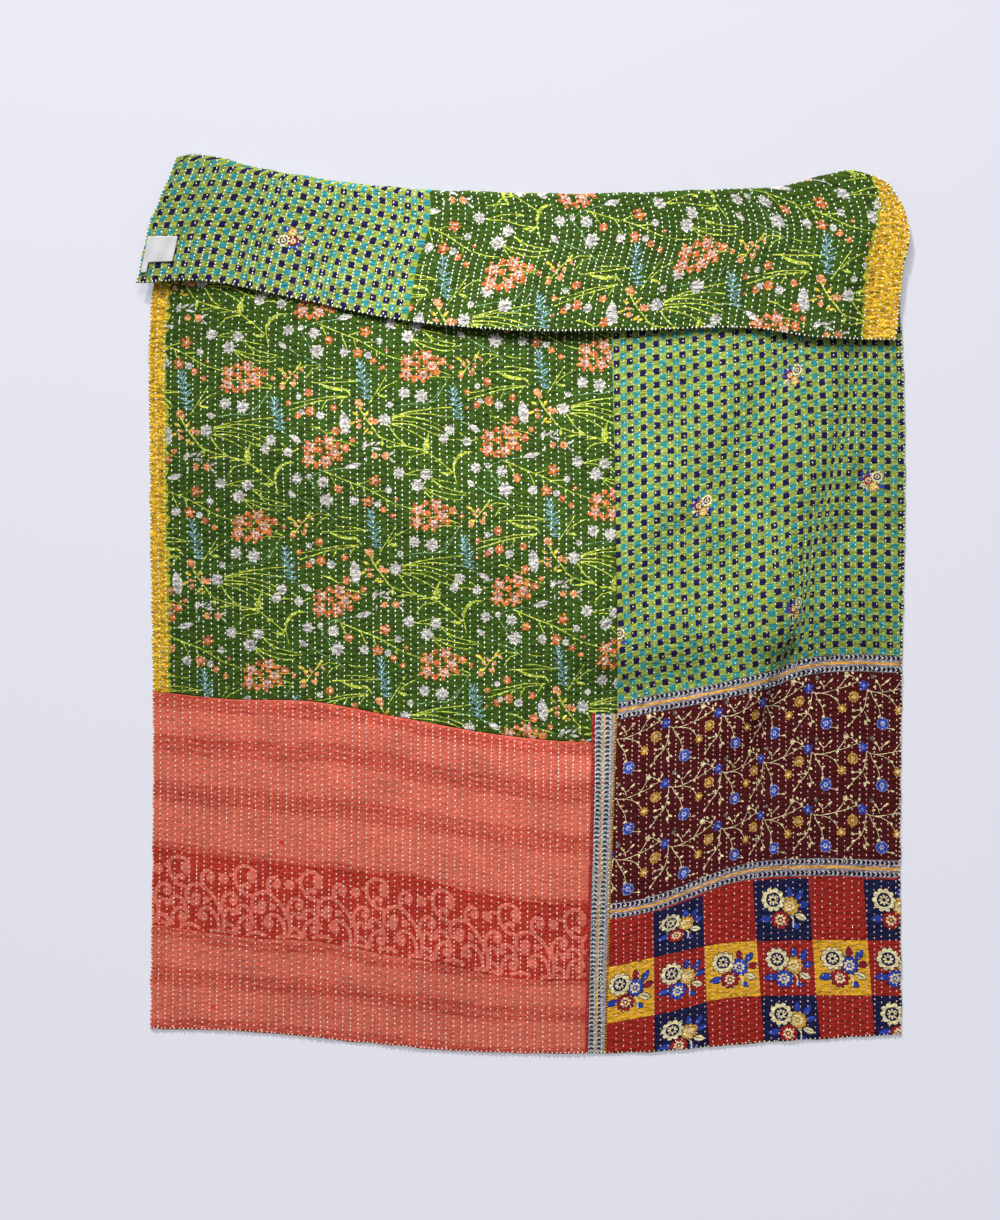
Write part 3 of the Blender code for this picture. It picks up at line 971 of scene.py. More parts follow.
def length_in_fold():
    return length_at(FOLD_END) - length_at(FOLD_START)


def flap_place(share, way):
    _, _, fold, flap = heights(share)
    depth = fold - flap
    beyond = np.clip(FOLD_END - way, 0, 1) * length_in_fold() + np.clip(FOLD_START - way, 0, 9)
    up = np.where(way > FOLD_END, (FLAP_EDGE - way) * depth, depth + beyond)
    return np.stack([share * WIDTH, up], 1)


STRIP_WIDTH = 0.040
CHEVRON_PITCH = 0.0081


def place_on_strip(p, q):
    """The strip's print lies level, however its ends slope."""
    way = way_at(q)
    left, right = straight(STRIP_LEFT, way), straight(STRIP_RIGHT, way)
    share = left + (right - left) * p
    return share, way_on_body(share, height_up_quilt((left + right) / 2, way))


def strip_place(share, way):
    left, right = straight(STRIP_LEFT, way), straight(STRIP_RIGHT, way)
    across = (share - left) / (right - left) * STRIP_WIDTH
    return np.stack([across, height_up_quilt(share, way)], 1)


# Long shapes have a point every so often, so that they bend with the cloth
BEND, BLOCK_BEND = 0.02, 0.03
CHECK_INSET = 0.0003


def check(shapes, left, right, bottom, top):
    """Navy and teal squares in turn on a lime ground."""
    shapes.add(rectangle(left, bottom, right, top, BEND), LIME)
    columns = range(math.floor(left / CHECK_CELL), math.ceil(right / CHECK_CELL) + 1)
    for row in range(math.floor(bottom / CHECK_CELL), math.ceil(top / CHECK_CELL) + 1):
        for column in columns:
            x, y = column * CHECK_CELL, row * CHECK_CELL
            inside = left - CHECK_CELL < x < right and bottom - CHECK_CELL < y < top
            if (row + column) % 2 or not inside:
                continue
            a, b = max(x + CHECK_INSET, left), max(y + CHECK_INSET, bottom)
            c, d = min(x + CHECK_CELL - CHECK_INSET, right), min(y + CHECK_CELL - CHECK_INSET, top)
            if c > a and d > b:
                shapes.add(rectangle(a, b, c, d), TEAL if row % 2 else NAVY)


# Arrowheads: along and across, as parts of their pitch and of half their height
ARROW = ((0.0, -1), (0.60, -1), (0.90, 0), (0.60, 1), (0.0, 1), (0.22, 0))
ROUND_ARROW = (
    (0.0, -1), (0.36, -1), (0.68, -0.60), (0.77, 0), (0.68, 0.60), (0.36, 1), (0.0, 1), (0.15, 0),
)


def chevrons(shapes, start, end, middle_line, height, pitch, colours, upright=False):
    """A row of arrowheads, or a column of them."""
    arrow = ROUND_ARROW if upright else ARROW
    for i in range(math.floor((end - start) / pitch)):
        a = start + i * pitch
        outline = [(a + pitch * t, middle_line + height / 2 * s) for t, s in arrow]
        if upright:
            outline = [(y, x) for x, y in outline][::-1]
        shapes.add(outline, colours[i % len(colours)])


BORDER_LINES = (
    (-0.0146, 0.0146, SLATE), (-0.0132, 0.0132, CHALK), (-0.0056, 0.0056, SLATE),
    (-0.0042, 0.0040, LILAC), (-0.0021, 0.0021, GOLD_LINE),
)
# How far a border's rows of arrowheads lie from its middle, their height and their pitch
BORDER_ROWS, BORDER_ARROW, BORDER_PITCH = 0.0094, 0.0070, 0.0080


def border(shapes, q, left, right):
    """A printed border: two rows of arrowheads either side of a gold line."""
    for low, high, colour in BORDER_LINES:
        shapes.add(rectangle(left, q + low, right, q + high, BEND), colour)
    for row in (q - BORDER_ROWS, q + BORDER_ROWS):
        colours = (DEEP_MAROON, NAVY, NAVY)
        chevrons(shapes, left, right, row, BORDER_ARROW, BORDER_PITCH, colours)


# The blocks' sides across the cloth, and the levels of each row's top and foot
BLOCK_SIDES = (0.7640, 0.8510, 0.9335, 1.0180, 1.1125, 1.2060, 1.3000)
BLOCK_ROWS = (
    (-0.0150, FIRST_BLOCKS), (FIRST_BLOCKS, SECOND_BLOCKS), (SECOND_BLOCKS, -0.306),
    (-0.306, -0.40),
)
# Colours of a bouquet's two smaller flowers and of its leaves
Bouquet = namedtuple("Bouquet", "second low leaves tips")
ON_NAVY = Bouquet(GOLD, RED, BLUE, BLUE)
ON_RED = Bouquet(GOLD, BLUE, BLUE, BLUE)
ON_CHECK = Bouquet(DARK_RED, GOLD, BLUE, BLUE)
ON_YELLOW = Bouquet(BLUE, DARK_RED, BLUE, DARK_RED)


def bouquet(shapes, x, y, size, kind, turn=0.0, mirrored=False):
    """Three round flowers with leaves; size is the width of the whole."""
    unit = size / 240
    c, s = math.cos(turn), math.sin(turn)

    def at(a, b):
        a = -a if mirrored else a
        return x + (a * c - b * s) * unit, y + (a * s + b * c) * unit

    for a, b, length, angle, width, colour in (
        (45, 45, 62, 95, 30, kind.tips), (68, 30, 75, 55, 30, kind.leaves),
        (75, 10, 62, 12, 32, kind.tips), (-42, -42, 78, 186, 34, kind.leaves),
        (62, -30, 62, -22, 34, CREAM), (40, -72, 48, -30, 26, kind.leaves),
    ):
        angle = math.radians(180 - angle if mirrored else angle) + turn
        shapes.add(leaf(*at(a, b), (length + 4) * unit, angle, (width + 9) * unit), OUTLINE)
        shapes.add(leaf(*at(a, b), length * unit, angle, width * unit), colour)
    shapes.add_stem([at(72, -34), at(108, -49)], 4 * unit, OUTLINE)
    shapes.add_stem([at(38, -30), at(52, -55), at(48, -92)], 7 * unit, CREAM)
    for a, b, radius, colour in ((38, 12, 48, kind.second), (-14, -54, 47, kind.low)):
        spot = at(a, b)
        shapes.add(lobed(*spot, (radius + 5) * unit, 10, 0.20), OUTLINE)
        shapes.add(lobed(*spot, radius * unit, 10, 0.22), colour)
        shapes.add(lobed(*spot, radius * 0.60 * unit, 8, 0.35, 0.3), CREAM)
        shapes.add(lobed(*spot, radius * 0.34 * unit, 6, 0.30), colour)
        shapes.add(lobed(*spot, radius * 0.13 * unit, 0, 0), CREAM)
    spot = at(-44, 46)
    for radius, lobes, depth, colour in (
        (65, 10, 0.20, OUTLINE), (60, 10, 0.22, CREAM), (37, 0, 0, NAVY), (27, 8, 0.55, CREAM),
        (10, 0, 0, NAVY),
    ):
        shapes.add(lobed(*spot, radius * unit, lobes, depth), colour)


SMALL_BOUQUET, LARGE_BOUQUET, WIDE_BLOCK = 0.042, 0.080, 0.092
# Column, share and height of the bouquets on the check
CHECK_BOUQUETS = (
    (13.7, 0.8535, 1.145), (6.5, 0.7310, 0.925), (20.9, 0.9561, 0.967), (13.4, 0.8509, 0.7525),
    (-0.5, 0.6232, 0.7018),
)


def check_bouquets(shapes):
    column, share, height = np.array(CHECK_BOUQUETS).T
    across = FIRST_COLUMN + 2 * CHECK_CELL * column
    for x, q in zip(across, level_at(PRINT_LEVELS, share, height)):
        bouquet(shapes, x, q, SMALL_BOUQUET, ON_CHECK, mirrored=True)


def printed_front(cut):
    shapes = Shapes(cut, place_on_printed, printed_place)
    left, right = 0.595 * WIDTH, 1.02 * WIDTH
    maroon_field(shapes, left, right)
    check(shapes, left, right + 0.10, UPPER_BORDER + 0.0148, CHECK_TOP + 0.12)
    check_bouquets(shapes)
    for row, (top, bottom) in enumerate(BLOCK_ROWS):
        for column, (a, b) in enumerate(zip(BLOCK_SIDES, BLOCK_SIDES[1:])):
            odd = column % 2
            colour = (INK if odd else RED) if row % 2 == 0 else (RED if odd else YELLOW)
            shapes.add(rectangle(a, bottom, b, top, BLOCK_BEND), colour)
            kind = {INK: ON_NAVY, YELLOW: ON_YELLOW}.get(colour, ON_RED if row % 2 else None)
            if kind:
                level = (bottom + top) / 2 if row != 2 else top - 0.047
                size = LARGE_BOUQUET * min(1, (b - a) / WIDE_BLOCK)
                bouquet(shapes, (a + b) / 2, level, size, kind)
    shapes.add(rectangle(left, -0.0180, right, 0.0, BEND), RED)
    border(shapes, 0.0, left, right)
    border(shapes, UPPER_BORDER, left, right)
    return shapes.finish()


# One repeat of the maroon field's print, from its blue bud, in tenths of a millimetre.
# Flowers: kind, right, up. Stems: points. Leaves: right, up, length, angle
MAROON_REPEAT, MAROON_BUD, MAROON_UNIT = (0.0964, 0.1010), (0.8073 - 0.0330, 0.0960), 0.0001
MAROON_FLOWERS = (
    ("bud", 0, 0), ("daisy", -171, -188), ("star", -365, -382), ("ring", 330, -612),
    ("small", 672, 172), ("dull", 152, 150),
)
MAROON_STEMS = (
    ((40, -30), (120, -95), (300, -100), (520, -55), (700, -10), (860, 60), (940, 10)),
    ((520, -55), (600, 40), (672, 140), (760, 150), (860, 60)),
    ((120, -95), (170, -210), (250, -330), (290, -480), (325, -560)),
    ((160, -95), (330, -130), (460, -200), (560, -330)),
    ((60, -70), (50, -180), (20, -330), (-30, -430), (-120, -510), (-230, -640)),
    ((20, -430), (60, -520), (60, -600)), ((-30, -430), (-90, -400), (-150, -420)),
    ((240, 60), (270, 10), (330, 20), (380, 90)), ((270, 10), (290, -60)),
    ((330, -640), (420, -680), (500, -690)),
)
MAROON_LEAVES = (
    (20, -560, 110, 285), (60, -560, 110, 250), (60, -540, 90, 320), (-120, -510, 90, 200),
    (-30, -420, 90, 110), (-140, -420, 80, 160), (240, 40, 90, 120), (370, 60, 110, 40),
    (220, 0, 80, 200), (250, -330, 90, 20), (170, -210, 80, 340), (290, -470, 80, 230),
    (50, -200, 80, 210), (30, -310, 80, 320), (-230, -620, 90, 240), (500, -55, 80, 300),
    (700, -10, 80, 60), (860, 60, 90, 100), (790, 170, 90, 120), (460, -200, 80, 330),
    (480, -690, 80, 350), (900, 120, 90, 80),
)


# Each flower's rings: radius, lobes, how deep they are, turn and colour
MAROON_RINGS = {
    "bud": ((0.0094, 5, 0.45, 0.5, BLUE), (0.0028, 0, 0, 0, (110, 130, 190))),
    "daisy": (
        (0.0098, 10, 0.24, 0, (188, 142, 60)), (0.0066, 8, 0.30, 0, (120, 84, 40)),
        (0.0046, 6, 0.40, 0, (196, 160, 96)),
    ),
    "star": ((0.0080, 8, 0.52, 0, (196, 146, 56)), (0.0024, 0, 0, 0, CREAM)),
    "ring": (
        (0.0108, 10, 0.16, 0, (128, 142, 190)), (0.0096, 10, 0.16, 0, BLUE),
        (0.0050, 6, 0.50, 0, (176, 186, 206)), (0.0020, 0, 0, 0, BLUE),
    ),
    "small": ((0.0052, 5, 0.55, 0, CREAM),),
    "dull": ((0.0042, 5, 0.50, 0, (110, 112, 96)),),
}
# The shares at which the repeats start, where the long fold takes some of the cloth up,
# and how that carries places across the uncreased cloth to places across the quilt
MAROON_SHARES = (0.5630, 0.6357, 0.7105, 0.7784, 0.8300, 0.8996, 0.9751, 1.0500)
MAROON_GATHERED = tuple(
    (0.8073 + 0.0964 * number, share * WIDTH) for number, share in enumerate(MAROON_SHARES, -1)
)


def maroon_field(shapes, left, right):
    """Cream sprigs and flowers on maroon."""
    shapes.add(rectangle(left, 0.0, right, UPPER_BORDER, BEND), MAROON)
    shapes.gathered, shapes.highest = MAROON_GATHERED, UPPER_BORDER + 0.0140
    for row in range(-1, 4):
        for column in range(-2, 7):

            def at(a, b):
                x = MAROON_BUD[0] + column * MAROON_REPEAT[0]
                y = MAROON_BUD[1] + row * MAROON_REPEAT[1]
                return x + a * MAROON_UNIT, y + b * MAROON_UNIT

            for points in MAROON_STEMS:
                shapes.add_stem([at(*p) for p in points], 0.0012, CREAM, 0.0009, 2)
            for a, b, length, angle in MAROON_LEAVES:
                long = length * MAROON_UNIT * 0.85
                shapes.add(leaf(*at(a, b), long, math.radians(angle), 0.0038), CREAM)
            for kind, a, b in MAROON_FLOWERS:
                for radius, lobes, depth, turn, colour in MAROON_RINGS[kind]:
                    shapes.add(lobed(*at(a, b), radius, lobes, depth, turn), colour)
    shapes.gathered = shapes.highest = None


# The strip's lines, from its left side, as parts of its width
STRIP_LINES = (
    (-0.05, 0.15, STRIP_RED), (0.15, 0.385, CHALK), (0.385, 0.450, LILAC),
    (0.450, 0.515, GOLD_LINE), (0.515, 0.760, CHALK), (0.760, 0.885, LILAC), (0.885, 1.05, GOLD),
)
# Middle and width of its two columns of arrowheads
STRIP_COLUMNS = ((0.272, 0.215), (0.638, 0.215))
# Dots at its right side: left, right, spacing and height
STRIP_DOT = (0.895, 1.02, 0.0050, 0.0022)


def border_strip(cut):
    shapes = Shapes(cut, place_on_strip, strip_place)
    end = length_at(SEAM) + 0.06
    along_strip = np.linspace(-0.02, end, 60)
    for left, right, colour in STRIP_LINES:
        outline = [(right, y) for y in along_strip] + [(left, y) for y in along_strip[::-1]]
        shapes.add(outline, colour)
    for middle_line, width in STRIP_COLUMNS:
        chevrons(shapes, -0.01, end, middle_line, width, CHEVRON_PITCH, (NAVY, STRIP_TEAL), True)
    left, right, spacing, height = STRIP_DOT
    for i in range(math.floor(end / spacing)):
        y = i * spacing
        shapes.add([(left, y), (right, y), (right, y + height), (left, y + height)], STRIP_DOTS)
    return shapes.finish()


# One repeat of the coral scroll band, right of its root and up from the band's foot, in
# parts of 950 of the repeat and of 1120 of the band's height: curling stems, and the
# round ends that they carry
SCROLL_REPEAT, SCROLL_FIRST, SCROLL_STEM = 0.1120, 0.1190, 0.0062
SCROLL_ACROSS, SCROLL_UP = SCROLL_REPEAT / 950, (BAND_TOP - BAND_BOTTOM) / 1120
SCROLL_STEMS = (
    ((20, 71), (27, 242), (0, 370), (-10, 469), (30, 567), (105, 621), (180, 601), (215, 543)),
    ((35, 282), (57, 373), (105, 396), (150, 369)),
    (
        (-43, 67), (-55, 187), (-95, 284), (-160, 350), (-230, 364), (-305, 322), (-333, 245),
        (-305, 192),
    ),
    (
        (-15, 309), (-47, 417), (-115, 528), (-175, 589), (-230, 641), (-315, 686), (-410, 675),
        (-485, 631), (-518, 549), (-515, 459), (-475, 396),
    ),
    ((-275, 673), (-297, 752), (-293, 832), (-253, 893), (-190, 904), (-140, 862), (-135, 812)),
    (
        (-515, 624), (-625, 640), (-710, 707), (-760, 804), (-773, 904), (-735, 996), (-653, 1043),
        (-565, 1034), (-495, 975), (-480, 911),
    ),
    ((-687, 659), (-667, 730), (-623, 778), (-580, 775)), ((95, 896), (170, 890)),
    ((-723, 47), (-725, 146), (-693, 238), (-630, 302), (-563, 306), (-503, 250), (-493, 190)),
    ((-515, 279), (-545, 387), (-615, 460), (-695, 458), (-735, 416)),
    ((-740, 56), (-795, 142), (-865, 178), (-945, 168)), ((-725, 46), (-795, 52), (-875, 67)),
    ((-605, 44), (-535, 76), (-455, 93), (-385, 87), (-315, 51)), ((-175, 34), (-85, 50), (35, 62)),
)
SCROLL_BALLS = (
    (160, 520, 62), (155, 334, 40), (-275, 233, 72), (-395, 436, 74), (-375, 507, 66),
    (-173, 805, 62), (-225, 476, 52), (-535, 908, 72), (-520, 859, 62), (-580, 755, 46),
    (15, 821, 74), (-565, 176, 68), (-730, 371, 54),
)


# The red dots: places on a grid of so many columns across the quilt, with rows this high
RED_DOTS, DOT_COLUMNS, DOT_ROW = ((129, 211), (63, 46)), 751, 0.001691


def coral_front(cut):
    shapes = Shapes(cut, place_on_coral, coral_place)
    shapes.add(rectangle(-0.02, BAND_BOTTOM, 0.78, BAND_TOP, BEND), SCROLL_GROUND)
    for number in range(-1, 8):

        def at(a, b):
            x = SCROLL_FIRST + number * SCROLL_REPEAT
            return x + a * SCROLL_ACROSS, BAND_BOTTOM + b * SCROLL_UP

        for points in SCROLL_STEMS:
            shapes.add_stem([at(*p) for p in points], SCROLL_STEM, SCROLL, pieces=2)
        for a, b, radius in SCROLL_BALLS:
            shapes.add(lobed(*at(a, b), radius * SCROLL_ACROSS, 0, 0), SCROLL)
    for column, row in RED_DOTS:
        share = column / DOT_COLUMNS
        q = float(level_at(CORAL_LEVELS, np.array([share]), np.array([row * DOT_ROW]))[0])
        shapes.add(lobed(share * WIDTH, q, 0.0045, 4, 0.3), (214, 44, 52))
    return shapes.finish()


# One repeat of the green print, right and down from its corner, in units of about a
# quarter of a millimetre. The first cluster of orange flowers is at (90, 660). Flowers:
# place and radius. Pods, sprays, leaves: place, length, angle and width. Stems: width
# and points. Thistles and feather: both ends
GREEN_REPEAT, GREEN_UNIT = (0.3010, 0.2520), (0.000241, 0.000227)
GREEN_FIRST, GREEN_START = (90, 660), (0.169, 0.8895)
CLUSTERS = ((90, 660), (590, 110))
CLUSTER_FLOWERS = ((-78, -42), (48, -82), (-88, 52), (30, 62), (88, -2))
CLUSTER_PETALS = ((-10, -20, 30), (-30, 92, 26), (128, 42, 28), (-20, -98, 24), (118, -66, 22))
BENT_LEAVES = (
    ((265, 320), (268, 270), (300, 215), (350, 185), (408, 182)),
    ((640, 695), (700, 725), (770, 742), (830, 745), (868, 795)),
    ((265, 320), (230, 345), (165, 332)), ((100, 160), (78, 110), (98, 35)),
    ((1400, 1215), (1372, 1160), (1398, 1095)),
)
STARS = (
    (760, 75, 34), (810, 15, 22), (255, 620, 32), (320, 660, 20), (960, 315, 42), (705, 375, 32),
    (910, 470, 40), (1110, 450, 18), (1020, 530, 26), (1085, 580, 22), (570, 770, 32),
    (430, 845, 22), (495, 940, 26), (580, 910, 36), (745, 885, 28), (760, 1055, 34), (425, 965, 16),
)
BLOSSOMS = (
    (200, 80, 36), (240, 15, 40), (360, 105, 34), (70, 350, 42), (10, 430, 48), (600, 325, 42),
    (420, 300, 40), (625, 460, 52), (815, 465, 34), (980, 490, 26), (1130, 255, 42),
    (1055, 385, 26), (110, 875, 48), (1235, 770, 42), (1100, 970, 46), (1135, 860, 24),
    (650, 940, 32), (500, 800, 22), (520, 915, 22), (505, 285, 22),
)
PODS = (
    (750, 220, 130, 10, 44), (355, 390, 80, -45, 40), (435, 1085, 105, -35, 46),
    (870, 75, 70, 50, 22),
)
SPRAYS = (
    (880, 95, 75, 60, 18), (900, 60, 80, 20, 20), (940, 70, 80, -15, 20), (960, 60, 60, 35, 16),
    (1040, 130, 75, 20, 18), (1060, 140, 60, -50, 16), (905, 130, 50, -100, 14),
)
BUDS = (
    (960, 130, 26), (1035, 130, 30), (915, 845, 30), (1035, 985, 24), (920, 1020, 22),
    (385, 725, 22), (480, 645, 20),
)
THISTLES = ((925, 545, 975, 815), (325, 825, 375, 1050))
FEATHER, FEATHER_ANGLE = (808, 905, 826, 1085), -85
THISTLE_BLADES, FEATHER_BLADES = 28, 16
GREEN_STEMS = (
    (8, (1160, 955), (1300, 925), (1450, 932), (1550, 955)),
    (8, (1150, 975), (1300, 985), (1440, 1022), (1540, 1085)),
    (8, (1140, 1000), (1240, 1035), (1340, 1090), (1420, 1155)),
    (7, (840, 795), (690, 800), (560, 830), (450, 850)), (7, (910, 690), (800, 660), (690, 655)),
    (7, (600, 25), (720, 20), (830, 60)), (7, (45, 455), (120, 540), (230, 590)),
    (7, (45, 450), (170, 480), (290, 505), (380, 500)),
    (7, (1560, 640), (1450, 600), (1330, 590), (1230, 600)),
    (7, (1560, 655), (1440, 650), (1330, 660)), (7, (1170, 265), (1280, 235), (1400, 230)),
    (7, (1300, 275), (1400, 310), (1500, 330)), (7, (1110, 490), (1200, 520), (1290, 530)),
    (10, (1150, 950), (1280, 910), (1420, 890), (1568, 875)),
    (10, (1150, 960), (1250, 945), (1400, 975), (1530, 1030)),
    (10, (1150, 1000), (1280, 1005), (1400, 1055), (1490, 1100)),
    (11, (1125, 1010), (1180, 1100), (1250, 1160)), (9, (585, 695), (750, 690), (910, 685)),
    (10, (840, 800), (650, 830), (540, 865), (430, 900)), (8, (690, 830), (660, 895)),
    (8, (615, 845), (590, 885)), (8, (820, 805), (780, 870)),
    (10, (610, 245), (700, 285), (800, 330), (900, 370), (1000, 430), (1100, 490)),
    (8, (650, 270), (690, 350)), (8, (790, 330), (830, 430)), (8, (880, 365), (895, 430)),
    (8, (840, 340), (920, 315)), (9, (930, 395), (1040, 390)), (8, (1040, 460), (1045, 500)),
    (9, (110, 385), (200, 450), (350, 490)), (7, (130, 400), (190, 470)),
    (9, (45, 450), (150, 510), (270, 540), (330, 530)),
    (8, (550, 660), (590, 600), (650, 575), (560, 560)), (7, (700, 575), (760, 590), (830, 590)),
    (
        11, (915, 860), (960, 950), (1030, 1050), (1080, 1110), (1250, 1165), (1400, 1215),
        (1560, 1352),
    ),
    (10, (380, 740), (430, 660), (480, 600), (560, 560)),
    (8, (580, 1020), (640, 1035), (700, 1075), (750, 1060)), (7, (620, 1040), (650, 1020)),
    (9, (1110, 1175), (1180, 1165), (1250, 1165)), (8, (230, 90), (300, 85), (350, 105)),
    (8, (1170, 265), (1300, 275)), (8, (390, 100), (440, 80)),
    (9, (1400, 1215), (1290, 1240), (1245, 1305)), (9, (100, 160), (30, 160), (-60, 170)),
    (8, (265, 320), (285, 420)), (8, (990, 850), (1040, 770), (1110, 650)),
    (8, (1050, 780), (1110, 720), (1190, 680)), (7, (600, 25), (700, 60), (760, 75)),
    (7, (190, 640), (300, 640)), (8, (140, 40), (180, 75)), (8, (310, 40), (360, 75)),
)
PALE_STEMS = (
    (6, (500, 300), (560, 400), (580, 450)), (6, (430, 440), (520, 500), (620, 545), (680, 610)),
    (6, (500, 295), (600, 245), (760, 222)), (6, (200, 1030), (300, 1025), (370, 1045)),
    (6, (150, 920), (200, 915), (250, 830), (300, 740)),
    (6, (1180, 870), (1300, 850), (1400, 850), (1480, 760)), (6, (600, 390), (570, 400)),
    (6, (380, 1060), (440, 1090)),
)
GREEN_LEAVES = (
    (180, 240, 60, 185, 22), (1050, 785, 80, -15, 22), (1080, 1110, 60, 265, 24),
    (1250, 1165, 60, 160, 18), (500, 580, 50, 70, 16), (1180, 1165, 60, 190, 18),
    (540, 865, 40, 200, 14),
)
BRANCH_BUDS = (
    (930, 900, 60, 70), (960, 950, 60, 55), (975, 985, 60, 35), (920, 940, 55, 150),
    (945, 980, 60, 170), (900, 985, 60, 200), (1000, 1010, 60, 70), (1020, 1060, 50, 190),
    (940, 870, 60, 110), (985, 1030, 50, 230), (430, 660, 50, 150), (410, 690, 50, 190),
    (450, 640, 50, 120), (480, 605, 50, 60), (440, 680, 55, -60), (400, 710, 50, 220),
    (465, 660, 60, -80), (420, 640, 50, 140), (505, 580, 50, -50), (395, 610, 60, 150),
)


def green_repeat(shapes, at, unit):
    """Draws one repeat. at carries a chart place to the cloth; unit is its scale."""

    def flower(x, y, radius, lobes, depth, colour, turn=0.0, uneven=0.12):
        spot = at(x, y)
        points = 4 if radius > 40 else 3 if radius > 20 else 2
        shapes.add(lobed(*spot, radius * unit, lobes, depth, turn, points, uneven), colour)

    def blade(x, y, length, angle, width, colour):
        shapes.add(leaf(*at(x, y), length * unit, math.radians(angle), width * unit), colour)

    for stems, colour in ((PALE_STEMS, (128, 168, 122)), (GREEN_STEMS, LEAF_LIME)):
        for width, *points in stems:
            line = [at(*p) for p in points]
            shapes.add_stem(line, width * unit * 1.05, colour, width * unit * 0.75, 2)
    for points in BENT_LEAVES:
        shapes.add_stem([at(*p) for p in points], np.array((4, 22, 26, 18, 3)) * unit, LEAF_LIME)
    for x, y, length, angle, width in GREEN_LEAVES:
        blade(x, y, length, angle, width, LEAF_LIME)
    for number, (x, y, length, angle) in enumerate(BRANCH_BUDS):
        blade(x, y, length, angle, 22, (BUD_PEACH, BUD_YELLOW)[number % 2])
    for left, top, right, bottom in THISTLES:
        shapes.add_stem([at(left, top), at(right, bottom)], 7 * unit, DULL_BLUE)
        for i in range(THISTLE_BLADES):
            t = (i // 2) / (THISTLE_BLADES // 2 - 1)
            x, y = left + (right - left) * t, top + (bottom - top) * t
            long = 32 + 30 * math.sin(math.pi * (0.1 + t * 0.85))
            angle = (60 - 50 * t if i % 2 else 120 + 50 * t) + 22 * math.sin(i * 5)
            blade(x, y, long, angle, 10, (PALE_BLUE, DULL_BLUE, PALE_BLUE)[i % 3])
    left, top, right, bottom = FEATHER
    blade(left, top, math.dist((left, top), (right, bottom)), FEATHER_ANGLE, 80, GREY_WHITE)
    for i in range(FEATHER_BLADES):
        t = 0.1 + (i // 2) / 10
        x, y = left + (right - left) * t, top + (bottom - top) * t
        long = 46 * math.sin(math.pi * (0.12 + t * 0.8))
        blade(x, y, long, FEATHER_ANGLE + (48 if i % 2 else -48), 16, GREY_WHITE)
    for x, y, length, angle, width in PODS + SPRAYS:
        blade(x, y, length, angle, width, GREY_WHITE)
    for x, y, radius in BLOSSOMS:
        flower(x, y, radius * 1.05, 7, 0.30, GREY_WHITE, x, 0.16)
        flower(x + radius * 0.1, y, radius * 0.40, 5, 0.40, (176, 168, 166), y)
    for x, y, radius in STARS:
        flower(x, y, radius * 1.1, 5, 0.55, ORANGE, x)
        flower(x + 3, y - 4, radius * 0.42, 5, 0.40, PEACH, y)
    for x, y, radius in BUDS:
        flower(x, y, radius, 4, 0.25, BUD_PEACH, x)
    for cx, cy in CLUSTERS:
        for number, (a, b) in enumerate(CLUSTER_FLOWERS):
            turn = number * 1.3 + cx
            flower(cx + a, cy + b, 58, 5, 0.60, ORANGE, turn, 0.16)
            flower(cx + a + 6, cy + b - 5, 36, 5, 0.60, PEACH, turn + 0.2, 0.16)
            flower(cx + a, cy + b, 12, 5, 0.3, (196, 84, 48), turn)
        for a, b, radius in CLUSTER_PETALS:
            flower(cx + a, cy + b, radius, 4, 0.50, ORANGE, a, 0.2)


def green_field(shapes, start, low, high, row_turn, chart_turn, scale):
    """Fills the cloth between two corners with repeats, whose rows and charts may be turned."""

    def turned(a, b, angle):
        return a * math.cos(angle) - b * math.sin(angle), a * math.sin(angle) + b * math.cos(angle)

    across, up = GREEN_REPEAT[0] * scale, GREEN_REPEAT[1] * scale
    for row in range(-4, 5):
        for column in range(-4, 5):
            p, q = turned(column * across, row * up, row_turn)
            p, q = p + start[0], q + start[1]
            if not (low[0] - across * 1.4 < p < high[0] + across * 0.2):
                continue
            if not (low[1] - up * 0.6 < q < high[1] + up * 0.7):
                continue

            def at(x, y):
                a = (x - GREEN_FIRST[0]) * GREEN_UNIT[0] * scale
                b = (GREEN_FIRST[1] - y) * GREEN_UNIT[1] * scale
                a, b = turned(a, b, chart_turn)
                return p + a, q + b

            green_repeat(shapes, at, GREEN_UNIT[1] * scale)


def ragged(inner, length, seed, wander, step=0.0048):
    """Places along an uneven line."""
    chance = np.random.default_rng(seed)
    places = np.arange(0, length + step, step)
    return [(inner + wander * (chance.random() - 0.5), y) for y in places]


def green_front(cut):
    shapes = Shapes(cut, place_on_green, green_place)
    start = on_green_print(*GREEN_START)
    green_field(shapes, start, (0.0, 0.50), (0.86, 1.35), 0.0, -GREEN_TURN, 1.0)
    edge = [(x, y + 0.50) for x, y in ragged(0.030, 1.1, 3, 0.010)]
    for shift, colour in ((0.0, SELVAGE_EDGE), (-0.0045, SELVAGE)):
        outline = [(-0.05, 0.45)] + [(x + shift, y) for x, y in edge] + [(-0.05, 1.7)]
        shapes.add([on_green_print(x, y) for x, y in outline[::-1]], colour)
    return shapes.finish()


# How much the green print is turned and enlarged on the flap, and where it starts there
FLAP_TURN, FLAP_SCALE, FLAP_START = math.radians(5.5), 1.06, (0.5995, 0.0915)
# How far up the flap -> where its selvage starts, as a share of the width
SELVAGE_SIDE = (0.0, 0.08, 0.18, 0.27), (0.955, 0.948, 0.949, 0.971)


